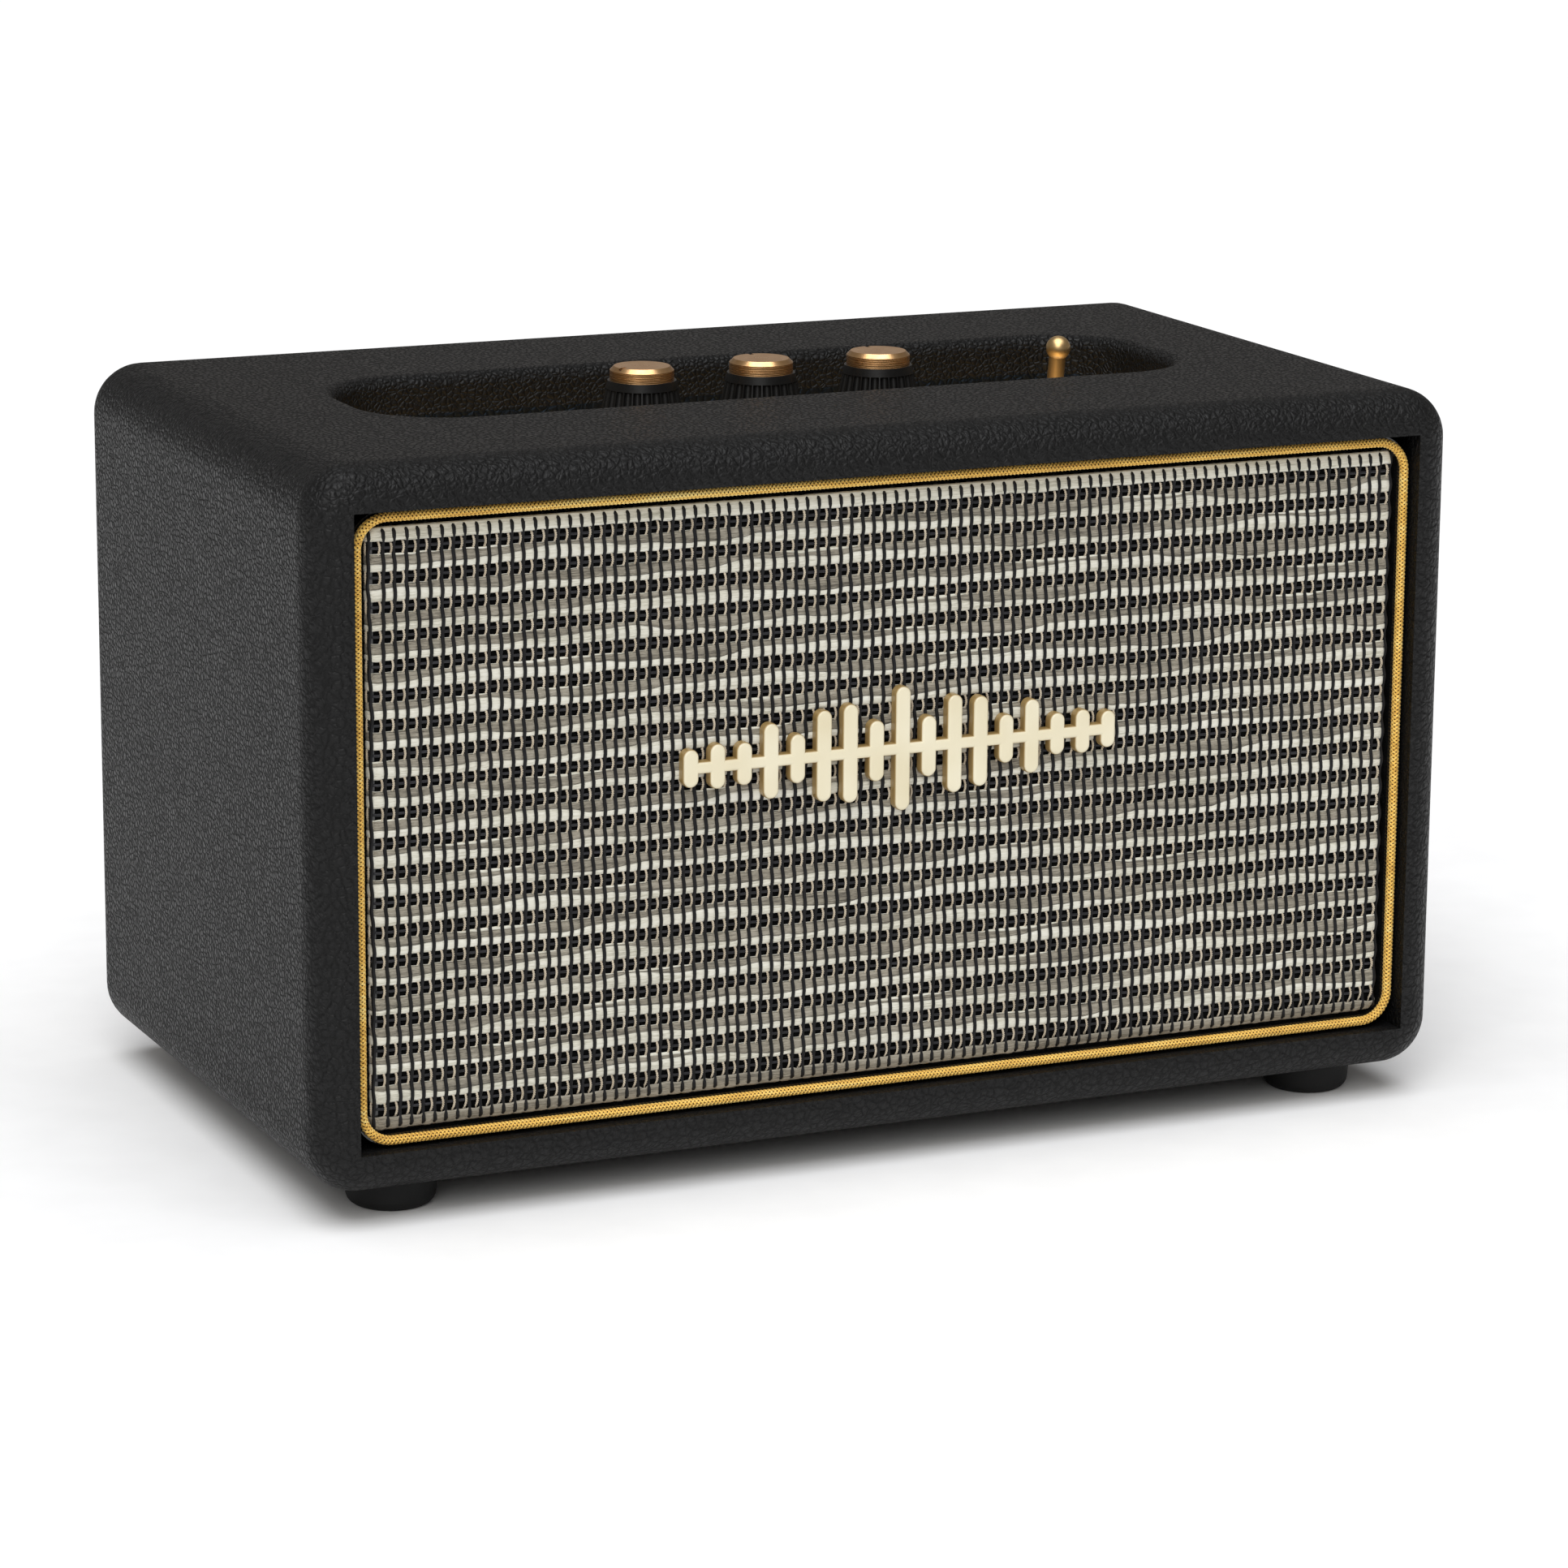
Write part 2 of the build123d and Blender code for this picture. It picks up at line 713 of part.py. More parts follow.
with BuildPart() as indicator_lenses:
    for x, y in lens_places:
        with BuildSketch(level(board_top, x, recess_y + y)):
            Circle(lens_radius)
        extrude(amount=plate_top + lens_rise - board_top)
    fillet(indicator_lenses.faces().group_by(Axis.Z)[-1].edges(), lens_radius * 0.4)

with BuildPart() as tact_switches:
    with BuildSketch(level(board_top)):
        with Locations((source_x, recess_y), (pair_x, recess_y)):
            Rectangle(switch_side, switch_side)
    extrude(amount=switch_height)


# Knobs: a fluted black skirt with a brass cap, pressed on its potentiometer's shaft


def knob_skirt(x):
    """A black skirt that flares down to the plate, fluted all round and hollow over the nut."""
    foot = plate_top + knob_gap
    with BuildPart() as skirt:
        add(
            turned_z(
                x,
                recess_y,
                [(0, foot), (knob_base_radius, foot), (knob_top_radius, cap_under), (0, cap_under)],
            )
        )
        flute_plane = level(foot, x, recess_y)
        for flute in range(knob_flutes):
            angle = 2 * pi * flute / knob_flutes
            low = Vector(knob_base_radius * cos(angle), knob_base_radius * sin(angle), 0)
            high = Vector(knob_top_radius * cos(angle), knob_top_radius * sin(angle), cap_under - foot)
            along = high - low
            start = flute_plane.origin + low - along * 0.1
            with BuildSketch(Plane(origin=start, z_dir=along.normalized())):
                Circle(knob_flute_radius)
            extrude(amount=along.length * 0.95, mode=Mode.SUBTRACT)
        with BuildSketch(level(foot, x, recess_y)):
            Circle(nut_flat / 2 + nut_room)
        extrude(amount=bushing_height + nut_room - knob_gap, mode=Mode.SUBTRACT)
        with BuildSketch(level(foot, x, recess_y)):
            Circle(shaft_radius)
        extrude(amount=shaft_top - foot, mode=Mode.SUBTRACT)
        with BuildSketch(level(cap_under, x, recess_y)):
            Circle(knob_cap_spigot)
        extrude(amount=-knob_spigot_height, mode=Mode.SUBTRACT)
    return skirt.part


def knob_cap(x, angle):
    """A turned brass cap with a pointer groove, angle degrees anticlockwise from 12 o'clock."""
    with BuildPart() as cap:
        with BuildSketch(level(cap_under, x, recess_y)):
            Circle(knob_cap_radius)
        extrude(amount=knob_cap_height)
        chamfer(cap.faces().sort_by(Axis.Z)[-1].edges(), knob_cap_chamfer)
        with BuildSketch(level(cap_under, x, recess_y)):
            Circle(knob_cap_spigot)
        extrude(amount=-knob_spigot_height)
        with BuildSketch(level(cap_under + knob_cap_height, x, recess_y)):
            with Locations(Rotation(0, 0, angle)):
                with Locations((0, knob_cap_radius - pointer_length / 2)):
                    Rectangle(pointer_width, pointer_length)
        extrude(amount=-pointer_depth, mode=Mode.SUBTRACT)
    return cap.part


def knob_shaft(x):
    """The potentiometer's shaft, from inside its body to inside the skirt."""
    with BuildPart() as shaft:
        with BuildSketch(level(board_top + pot_height / 2 + shaft_play, x, recess_y)):
            Circle(shaft_radius)
        extrude(amount=shaft_top - (board_top + pot_height / 2 + shaft_play))
    return shaft.part


with BuildPart() as volume_skirt:
    add(knob_skirt(knob_places["volume"]))
with BuildPart() as bass_skirt:
    add(knob_skirt(knob_places["bass"]))
with BuildPart() as treble_skirt:
    add(knob_skirt(knob_places["treble"]))
with BuildPart() as volume_cap:
    add(knob_cap(knob_places["volume"], volume_angle))
with BuildPart() as bass_cap:
    add(knob_cap(knob_places["bass"], 0))
with BuildPart() as treble_cap:
    add(knob_cap(knob_places["treble"], 0))
with BuildPart() as volume_shaft:
    add(knob_shaft(knob_places["volume"]))
with BuildPart() as bass_shaft:
    add(knob_shaft(knob_places["bass"]))
with BuildPart() as treble_shaft:
    add(knob_shaft(knob_places["treble"]))

# The toggle lever leans forward, and its pivot ball turns in the switch's bushing

with BuildPart() as toggle_lever:
    lean = radians(toggle_lean)
    lever_length = (top + toggle_ball_rise - pivot_z) / cos(lean)
    neck = toggle_radius * 0.75
    with BuildSketch(
        Plane(
            origin=(toggle_x, recess_y, pivot_z),
            x_dir=(1, 0, 0),
            z_dir=(0, -cos(lean), -sin(lean)),
        )
    ):
        with BuildLine():
            Polyline(
                (0, -2 * toggle_pivot),
                (neck, -2 * toggle_pivot),
                (neck, toggle_radius),
                (toggle_radius, toggle_radius * 1.6),
                (toggle_radius, lever_length),
                (0, lever_length),
                close=True,
            )
        make_face()
        with BuildLine():
            ThreePointArc((0, -toggle_pivot), (toggle_pivot, 0), (0, toggle_pivot))
            Line((0, toggle_pivot), (0, -toggle_pivot))
        make_face()
        with BuildLine():
            ball_foot = (0, lever_length - toggle_ball)
            ball_top = (0, lever_length + toggle_ball)
            ThreePointArc(ball_foot, (toggle_ball, lever_length), ball_top)
            Line(ball_top, ball_foot)
        make_face()
    revolve(axis=Axis((toggle_x, recess_y, pivot_z), (0, -sin(lean), cos(lean))))


def push_button(x):
    """A domed button held under the plate by its flange, its stem just above the switch."""
    with BuildPart() as button:
        stem_foot = board_top + switch_height + button_travel + button_stem_gap
        with BuildSketch(level(stem_foot, x, recess_y)):
            Circle(switch_side / 3)
        extrude(amount=plate_under - button_play - stem_foot)
        with BuildSketch(level(plate_under - button_play, x, recess_y)):
            Circle(button_radius + button_flange)
        extrude(amount=-button_flange)
        with BuildSketch(level(plate_under - button_play, x, recess_y)):
            Circle(button_radius)
        extrude(amount=button_play + plate_thickness + button_rise)
        fillet(button.faces().sort_by(Axis.Z)[-1].edges(), button_radius * 0.2)
    return button.part


with BuildPart() as source_button:
    add(push_button(source_x))
with BuildPart() as pair_button:
    add(push_button(pair_x))

# The woofer

seat = baffle_front - woofer_flange  # the flange's front face
cone_edge = seat
basket_back = baffle_front + basket_length
magnet_front = basket_back + basket_wall + top_plate
magnet_back = magnet_front + magnet_length
spider_y = baffle_front + basket_length * 0.7


def basket_inside(y):
    """The inner radius of the basket's wall at depth y."""
    return basket_mouth - (basket_mouth - basket_neck) * (y - baffle_front) / basket_length


def basket_outside(y):
    """The outer radius of the basket's wall at depth y."""
    taper = (basket_mouth - basket_neck) / (basket_length + basket_wall)
    return basket_mouth + basket_wall - taper * (y - baffle_front)


with BuildPart() as woofer_basket:
    add(
        turned_y(
            0,
            woofer_centre,
            [
                (basket_mouth, seat),
                (woofer_flange_radius, seat),
                (woofer_flange_radius, baffle_front),
                (basket_mouth + basket_wall, baffle_front),
                (basket_neck + basket_wall, basket_back + basket_wall),
                (magnet_hole, basket_back + basket_wall),
                (magnet_hole, basket_back),
                (basket_neck, basket_back),
                (basket_mouth, baffle_front),
            ],
        )
    )
    with BuildSketch(facing(basket_back - spider_gap)):
        with PolarLocations(basket_mouth, 4):
            RectangleRounded(basket_mouth, basket_window, 4)
    extrude(amount=(basket_back - spider_gap) - (baffle_front + spider_gap), mode=Mode.SUBTRACT)
    with BuildSketch(facing(seat)):
        with Locations(*woofer_screw_places):
            Circle(driver_screw_radius)
    extrude(amount=-woofer_flange, mode=Mode.SUBTRACT)

with BuildPart() as woofer_yoke:
    add(
        turned_y(
            0,
            woofer_centre,
            [
                (coil_outside + magnet_gap, magnet_front - top_plate),
                (plate_radius, magnet_front - top_plate),
                (plate_radius, magnet_front),
                (coil_outside + magnet_gap, magnet_front),
            ],
        )
    )
    add(
        turned_y(
            0,
            woofer_centre,
            [
                (0, magnet_front - top_plate),
                (coil_radius - magnet_gap, magnet_front - top_plate),
                (coil_radius - magnet_gap, magnet_back),
                (plate_radius, magnet_back),
                (plate_radius, magnet_back + top_plate),
                (0, magnet_back + top_plate),
            ],
        )
    )

with BuildPart() as woofer_magnet:
    add(
        turned_y(
            0,
            woofer_centre,
            [
                (magnet_hole, magnet_front),
                (magnet_radius - magnet_chamfer, magnet_front),
                (magnet_radius, magnet_front + magnet_chamfer),
                (magnet_radius, magnet_back - magnet_chamfer),
                (magnet_radius - magnet_chamfer, magnet_back),
                (magnet_hole, magnet_back),
            ],
        )
    )

cone_neck = coil_radius + coil_wall


def cone_face(radius):
    """The depth y of the cone's front face at a radius."""
    return cone_edge + cone_depth * (cone_radius - cone_rim - radius) / (
        cone_radius - cone_rim - cone_neck
    )


with BuildPart() as woofer_cone:
    add(
        turned_y(
            0,
            woofer_centre,
            [
                (cone_neck, cone_edge + cone_depth),
                (cone_radius - cone_rim, cone_edge),
                (cone_radius, cone_edge),
                (cone_radius, cone_edge + cone_wall * 0.7),
                (cone_radius - cone_rim, cone_edge + cone_wall),
                (cone_neck, cone_edge + cone_depth + cone_wall),
            ],
        )
    )

with BuildPart() as woofer_dust_cap:
    cap_radius = cone_neck + dust_cap_lap
    cap_y = cone_face(cap_radius)
    cap_inner = cap_radius - roll_wall
    cap_inner_y = cone_face(cap_inner)
    cap_crown = cap_y - dust_cap_rise
    with BuildSketch(Plane(origin=(0, 0, woofer_centre))):
        with BuildLine():
            ThreePointArc(
                (cap_radius, cap_y), cap_middle(cap_radius, cap_crown, cap_y), (0, cap_crown)
            )
            Line((0, cap_crown), (0, cap_crown + roll_wall))
            ThreePointArc(
                (0, cap_crown + roll_wall),
                cap_middle(cap_inner, cap_crown + roll_wall, cap_inner_y),
                (cap_inner, cap_inner_y),
            )
            Line((cap_inner, cap_inner_y), (cap_radius, cap_y))
        make_face()
    revolve(axis=Axis((0, 0, woofer_centre), (0, 1, 0)))

with BuildPart() as voice_coil:
    add(
        turned_y(
            0,
            woofer_centre,
            [
                (coil_radius, cone_edge + cone_depth),
                (cone_neck, cone_edge + cone_depth),
                (cone_neck, magnet_front - top_plate - coil_overhang),
                (coil_outside, magnet_front - top_plate - coil_overhang),
                (coil_outside, magnet_front + coil_overhang),
                (cone_neck, magnet_front + coil_overhang),
                (cone_neck, magnet_front + former_tail),
                (coil_radius, magnet_front + former_tail),
            ],
        )
    )

with BuildPart() as woofer_surround:
    roll = roll_span / 2
    roll_centre = cone_radius + roll
    flat_radius = woofer_screw_circle - driver_screw_head - frame_clearance
    with BuildSketch(Plane(origin=(0, 0, woofer_centre))):
        with BuildLine():
            ThreePointArc(
                (roll_centre - roll, seat - roll_wall),
                (roll_centre, seat - roll_wall - roll),
                (roll_centre + roll, seat - roll_wall),
            )
            Polyline(
                (roll_centre + roll, seat - roll_wall),
                (flat_radius, seat - roll_wall),
                (flat_radius, seat),
                (roll_centre + roll - roll_wall, seat),
            )
            ThreePointArc(
                (roll_centre + roll - roll_wall, seat),
                (roll_centre, seat - roll),
                (roll_centre - roll + roll_wall, seat),
            )
            Polyline(
                (roll_centre - roll + roll_wall, seat),
                (cone_radius - cone_rim, seat),
                (cone_radius - cone_rim, seat - roll_wall),
                (roll_centre - roll, seat - roll_wall),
            )
        make_face()
    revolve(axis=Axis((0, 0, woofer_centre), (0, 1, 0)))

with BuildPart() as woofer_spider:
    with BuildSketch(facing(spider_y, 0, woofer_centre)):
        Circle(basket_inside(spider_y + spider_wall))
        Circle(cone_neck, mode=Mode.SUBTRACT)
    extrude(amount=-spider_wall)

# The tweeters

with BuildPart() as tweeter_faceplates:
    for x, z in tweeter_places:
        add(
            turned_y(
                x,
                middle + z,
                [
                    (dome_radius + dome_play, baffle_front),
                    (tweeter_radius, baffle_front),
                    (tweeter_radius, baffle_front - tweeter_flange),
                    (tweeter_radius * 0.74, baffle_front - tweeter_flange),
                    (dome_radius + dome_play, baffle_front - tweeter_flange / 3),
                ],
            )
        )
    with BuildSketch(facing(baffle_front)):
        with Locations(*tweeter_screw_places):
            Circle(driver_screw_radius)
    extrude(amount=tweeter_flange, mode=Mode.SUBTRACT)

with BuildPart() as tweeter_magnets:
    for x, z in tweeter_places:
        add(
            turned_y(
                x,
                middle + z,
                [
                    (0, baffle_front + tweeter_motor_length),
                    (tweeter_motor_radius, baffle_front + tweeter_motor_length),
                    (tweeter_motor_radius, baffle_front),
                    (dome_radius + dome_well, baffle_front),
                    (dome_radius + dome_well, baffle_front + dome_well),
                    (dome_radius + 2 * dome_play, baffle_front + dome_well),
                    (dome_radius + 2 * dome_play, baffle_front + dome_gap_depth),
                    (dome_radius - dome_wall - dome_play, baffle_front + dome_gap_depth),
                    (dome_radius - dome_wall - dome_play, baffle_front + dome_well),
                    (0, baffle_front + dome_well),
                ],
            )
        )


def tweeter_dome(x, z):
    """A soft dome with its voice coil former and the flat foot of its surround."""
    crown = baffle_front - dome_rise
    foot = baffle_front + 2 * dome_wall
    inner = dome_radius - dome_wall
    with BuildPart() as dome:
        with BuildSketch(Plane(origin=(x, 0, z))):
            with BuildLine():
                ThreePointArc((0, crown), cap_middle(dome_radius, crown, foot), (dome_radius, foot))
                Polyline(
                    (dome_radius, foot),
                    (dome_radius + dome_well * 0.8, foot),
                    (dome_radius + dome_well * 0.8, foot + dome_wall),
                    (dome_radius, foot + dome_wall),
                    (dome_radius, baffle_front + dome_gap_depth - dome_well),
                    (inner, baffle_front + dome_gap_depth - dome_well),
                    (inner, foot),
                )
                ThreePointArc(
                    (inner, foot), cap_middle(inner, crown + dome_wall, foot), (0, crown + dome_wall)
                )
                Line((0, crown + dome_wall), (0, crown))
            make_face()
        revolve(axis=Axis((x, 0, z), (0, 1, 0)))
    return dome.part


with BuildPart() as tweeter_dome_left:
    add(tweeter_dome(-tweeter_x, middle + tweeter_rise))
with BuildPart() as tweeter_dome_right:
    add(tweeter_dome(tweeter_x, middle + tweeter_rise))

# Electronics on the floor of the cabinet, and the leads

with BuildPart() as standoffs:
    with BuildSketch(level(floor_level, main_board_x, main_board_y)):
        with GridLocations(
            main_board_length - 2 * standoff_inset, main_board_width - 2 * standoff_inset, 2, 2
        ):
            Circle(standoff_radius)
    extrude(amount=standoff_height)

# On the board: two capacitors at the back, the heat sink on the left, the transformer on the right
board_left = main_board_x - main_board_length / 2
board_right = main_board_x + main_board_length / 2
board_near = main_board_y - main_board_width / 2
capacitor_places = [
    (x * (capacitor_radius + 0.15) + 0.65, main_board_width / 2 - 9.0) for x in (-1, 1)
]
sink_place = (board_left + sink_width / 2 + 6.0, board_near + sink_length / 2 + 4.0)
core_place = (board_right - core_length / 2 - 5.0, board_near + coil_width / 2 + 2.0)

with BuildPart() as main_board:
    with BuildSketch(level(main_level, main_board_x, main_board_y)):
        Rectangle(main_board_length, main_board_width)
    extrude(amount=-circuit_board)
    with BuildSketch(level(main_level, main_board_x, main_board_y)):
        with Locations(*capacitor_places):
            Circle(capacitor_radius)
    extrude(amount=capacitor_height)
    fillet(main_board.faces().group_by(Axis.Z)[-1].edges(), capacitor_top)

with BuildPart() as heat_sink:
    with BuildSketch(level(main_level, *sink_place)):
        Rectangle(sink_width, sink_length)
    extrude(amount=sink_base)
    with BuildSketch(level(main_level + sink_base, *sink_place)):
        with GridLocations(sink_fin_pitch, 0, sink_fins, 1):
            Rectangle(sink_fin, sink_length)
    extrude(amount=sink_fin_height)

with BuildPart() as transformer:
    with BuildSketch(level(main_level, *core_place)):
        Rectangle(core_length, core_width)
    extrude(amount=core_height)
    with BuildSketch(level(main_level + (core_height - coil_height) / 2, *core_place)):
        RectangleRounded(coil_length, coil_width, coil_corner)
    extrude(amount=coil_height)

# Every lead ends on the main board, clear of what stands on it
left_landing = board_left + 2.5
near_landing = board_near + 3.0
woofer_landing = board_near + 11.0
mains_landing = main_board_y + main_board_width / 2 - 13.0
control_landing = (board_left + 23.0, main_board_y + main_board_width / 2 - 4.0)
woofer_lead_level = main_level + 8.0
tweeter_lead_level = main_level + 16.0
terminal_y = basket_back - spider_gap / 2
terminal_z = woofer_centre - basket_outside(terminal_y - wire_radius)
tail_y = panel_outside - inlet_socket_depth - inlet_flange_thickness - inlet_tail
tweeter_back = baffle_front + tweeter_motor_length

with BuildPart() as wiring:
    for side in (-1, 1):
        tail_x = inlet_x + side * inlet_pin_pitch / 2
        inlet_z = middle - inlet_drop
        add(
            wire(
                (tail_x, tail_y, inlet_z),
                (tail_x, mains_landing, inlet_z),
                (tail_x, mains_landing, main_level),
            )
        )
    add(
        wire(
            (0, terminal_y, terminal_z),
            (0, terminal_y, woofer_lead_level),
            (left_landing, woofer_landing, woofer_lead_level),
            (left_landing, woofer_landing, main_level),
            bend=4,
        )
    )
    for x, landing in ((-tweeter_x, left_landing + 1.5), (tweeter_x, board_left + 39.0)):
        add(
            wire(
                (x, tweeter_back, middle + tweeter_rise),
                (x, tweeter_back + 12, middle + tweeter_rise),
                (x, tweeter_back + 12, tweeter_lead_level),
                (landing, near_landing, tweeter_lead_level),
                (landing, near_landing, main_level),
                bend=5,
            )
        )
    add(
        wire(
            (control_landing[0], recess_y, board_top - circuit_board),
            (control_landing[0], recess_y, board_top - 22),
            (*control_landing, board_top - 50),
            (*control_landing, main_level),
            bend=8,
        )
    )

with BuildPart() as wadding:
    wadding_x = wadding_thickness / 2 - tunnel_width / 2
    with BuildSketch(level(floor_level, wadding_x, inside_middle)):
        Rectangle(wadding_thickness, panel_inside - baffle_back - 2 * wadding_gap)
    extrude(amount=tunnel_height - batten * 2)
    fillet(wadding.edges().filter_by(Axis.Z), wadding_corner)

# The grille: a board with a black rim, stretched cloth, piping and a cream ornament

with BuildPart() as grille_frame:
    with BuildSketch(facing(frame_front)):
        RectangleRounded(frame_width, frame_height, frame_corner)
        Circle(frame_woofer_hole, mode=Mode.SUBTRACT)
        with Locations(*tweeter_places):
            Circle(frame_tweeter_hole, mode=Mode.SUBTRACT)
        with Locations(*badge_studs):
            Circle(badge_stud_radius, mode=Mode.SUBTRACT)
    extrude(amount=-frame_thickness)
    with BuildSketch(facing(frame_front)):
        RectangleRounded(
            cloth_width + 2 * groove_width, cloth_height + 2 * groove_width, cloth_corner + groove_width
        )
        RectangleRounded(
            cloth_width - 2 * cloth_thickness,
            cloth_height - 2 * cloth_thickness,
            cloth_corner - cloth_thickness,
            mode=Mode.SUBTRACT,
        )
    extrude(amount=-groove_depth, mode=Mode.SUBTRACT)
    with BuildSketch(facing(frame_back)):
        with Locations(*pin_places):
            Circle(pin_radius)
    extrude(amount=pin_seat, mode=Mode.SUBTRACT)

with BuildPart() as grille_cloth:
    with BuildSketch(facing(cloth_front)):
        RectangleRounded(cloth_width, cloth_height, cloth_corner)
    extrude(amount=-(cloth_thickness + cloth_fold))
    fillet(grille_cloth.faces().sort_by(Axis.Y)[0].edges(), cloth_thickness)
    with BuildSketch(facing(frame_front)):
        RectangleRounded(
            cloth_width - 2 * cloth_thickness,
            cloth_height - 2 * cloth_thickness,
            cloth_corner - cloth_thickness,
        )
    extrude(amount=-cloth_fold, mode=Mode.SUBTRACT)
    with BuildSketch(facing(cloth_front)):
        with Locations(*badge_studs):
            Circle(badge_stud_radius)
    extrude(amount=-cloth_thickness, mode=Mode.SUBTRACT)

with BuildPart() as grille_piping:
    piping_x = frame_width / 2 - piping_inset
    piping_z = frame_height / 2 - piping_inset
    with BuildSketch(facing(front + piping_depth), mode=Mode.PRIVATE) as piping_outline:
        RectangleRounded(2 * piping_x, 2 * piping_z, piping_corner)
    piping_path = piping_outline.sketch.wire()
    with BuildSketch(Plane(origin=piping_path @ 0, z_dir=piping_path % 0)):
        Circle(piping_radius)
    sweep(path=piping_path)

with BuildPart() as grille_badge:
    with BuildSketch(facing(cloth_front, 0, middle + badge_rise)):
        for bar in range(-badge_bars, badge_bars + 1):
            swell = cos(pi * bar / (2 * badge_bars + 3)) ** 2 * abs(cos(bar * badge_beat))
            tall = badge_bar_width * 2 + (badge_height - badge_bar_width * 2) * swell
            with Locations((bar * badge_pitch, 0)):
                SlotOverall(tall, badge_bar_width, rotation=90)
        Rectangle(2 * badge_bars * badge_pitch, badge_spine)
    extrude(amount=badge_thickness)
    fillet(grille_badge.faces().sort_by(Axis.Y)[0].edges(), badge_bar_width * 0.2)
    with BuildSketch(facing(cloth_front)):
        with Locations(*badge_studs):
            Circle(badge_stud_radius)
    extrude(amount=-(cloth_thickness + frame_thickness * 0.8))

with BuildPart() as grille_pins:
    with BuildSketch(facing(frame_back - pin_seat)):
        with Locations(*pin_places):
            Circle(pin_radius)
    extrude(amount=-(pin_seat + pin_length))
    fillet(grille_pins.faces().group_by(Axis.Y)[-1].edges(), pin_radius * 0.6)

with BuildPart() as grille_sockets:
    with BuildSketch(facing(baffle_front)):
        with Locations(*pin_places):
            Circle(socket_collar)
    extrude(amount=socket_collar_height)
    with BuildSketch(facing(baffle_front)):
        with Locations(*pin_places):
            Circle(socket_radius)
    extrude(amount=-baffle_thickness)
    with BuildSketch(facing(baffle_front - socket_collar_height)):
        with Locations(*pin_places):
            Circle(pin_radius + pin_clearance)
    extrude(amount=-(baffle_thickness + socket_collar_height), mode=Mode.SUBTRACT)

# Fasteners

with BuildPart() as case_screws:
    sunk = foot_height / 2
    add(
        screws(
            Plane(origin=(0, 0, sunk), x_dir=(1, 0, 0), z_dir=(0, 0, -1)),
            [(x, -y) for x, y in foot_places],
            case_screw_radius,
            bottom + foot_screw_depth - sunk,
            case_screw_head,
            case_screw_head / 2,
        )
    )
    add(
        screws(
            rear(panel_outside, 0, 0),
            [(-x, z) for x, z in panel_screw_places],
            case_screw_radius,
            rear_panel_thickness + batten_screw_depth,
            case_screw_head,
            case_screw_head / 2,
        )
    )
    add(
        screws(
            Plane(origin=(0, 0, plate_under), x_dir=(1, 0, 0), z_dir=(0, 0, -1)),
            [(x, -y) for x, y in tray_screw_places],
            case_screw_radius,
            ceiling + tray_screw_depth - plate_under,
            case_screw_head,
            case_screw_head / 2,
        )
    )

with BuildPart() as driver_screws:
    add(
        screws(
            facing(seat),
            driver_screw_places,
            driver_screw_radius,
            woofer_flange + baffle_thickness,
            driver_screw_head,
            driver_screw_head * 0.55,
        )
    )

pieces = {
    "top_board": top_board,
    "bottom_board": bottom_board,
    "left_board": left_board,
    "right_board": right_board,
    "vinyl_covering": vinyl_covering,
    "feet": feet,
    "front_baffle": front_baffle,
    "rear_battens": rear_battens,
    "rear_panel": rear_panel,
    "bass_port": bass_port,
    "mains_inlet": mains_inlet,
    "inlet_pins": inlet_pins,
    "control_tray": control_tray,
    "control_plate": control_plate,
    "control_board": control_board,
    "potentiometers": potentiometers,
    "panel_nuts": panel_nuts,
    "toggle_switch": toggle_switch,
    "aux_jack": aux_jack,
    "indicator_lenses": indicator_lenses,
    "tact_switches": tact_switches,
    "volume_skirt": volume_skirt,
    "bass_skirt": bass_skirt,
    "treble_skirt": treble_skirt,
    "volume_cap": volume_cap,
    "bass_cap": bass_cap,
    "treble_cap": treble_cap,
    "volume_shaft": volume_shaft,
    "bass_shaft": bass_shaft,
    "treble_shaft": treble_shaft,
    "toggle_lever": toggle_lever,
    "source_button": source_button,
    "pair_button": pair_button,
    "woofer_basket": woofer_basket,
    "woofer_yoke": woofer_yoke,
    "woofer_magnet": woofer_magnet,
    "woofer_cone": woofer_cone,
    "woofer_dust_cap": woofer_dust_cap,
    "voice_coil": voice_coil,
    "woofer_surround": woofer_surround,
    "woofer_spider": woofer_spider,
    "tweeter_faceplates": tweeter_faceplates,
    "tweeter_magnets": tweeter_magnets,
    "tweeter_dome_left": tweeter_dome_left,
    "tweeter_dome_right": tweeter_dome_right,
    "standoffs": standoffs,
    "main_board": main_board,
    "heat_sink": heat_sink,
    "transformer": transformer,
    "wiring": wiring,
    "wadding": wadding,
    "grille_frame": grille_frame,
    "grille_cloth": grille_cloth,
    "grille_piping": grille_piping,
    "grille_badge": grille_badge,
    "grille_pins": grille_pins,
    "grille_sockets": grille_sockets,
    "case_screws": case_screws,
    "driver_screws": driver_screws,
}

os.makedirs("parts", exist_ok=True)
for name, piece in pieces.items():
    piece.part.label = name
    export_step(piece.part, f"parts/{name}.step")
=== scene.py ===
# %% [markdown]
# # A compact loudspeaker dressed as a guitar amplifier
# The structure, the drivers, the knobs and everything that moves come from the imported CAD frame.
# What is added here is what CAD leaves plain: the woven grille cloth, the braided piping, the marks
# round the knobs and the finish of every surface.

# %% Load the frame
import json

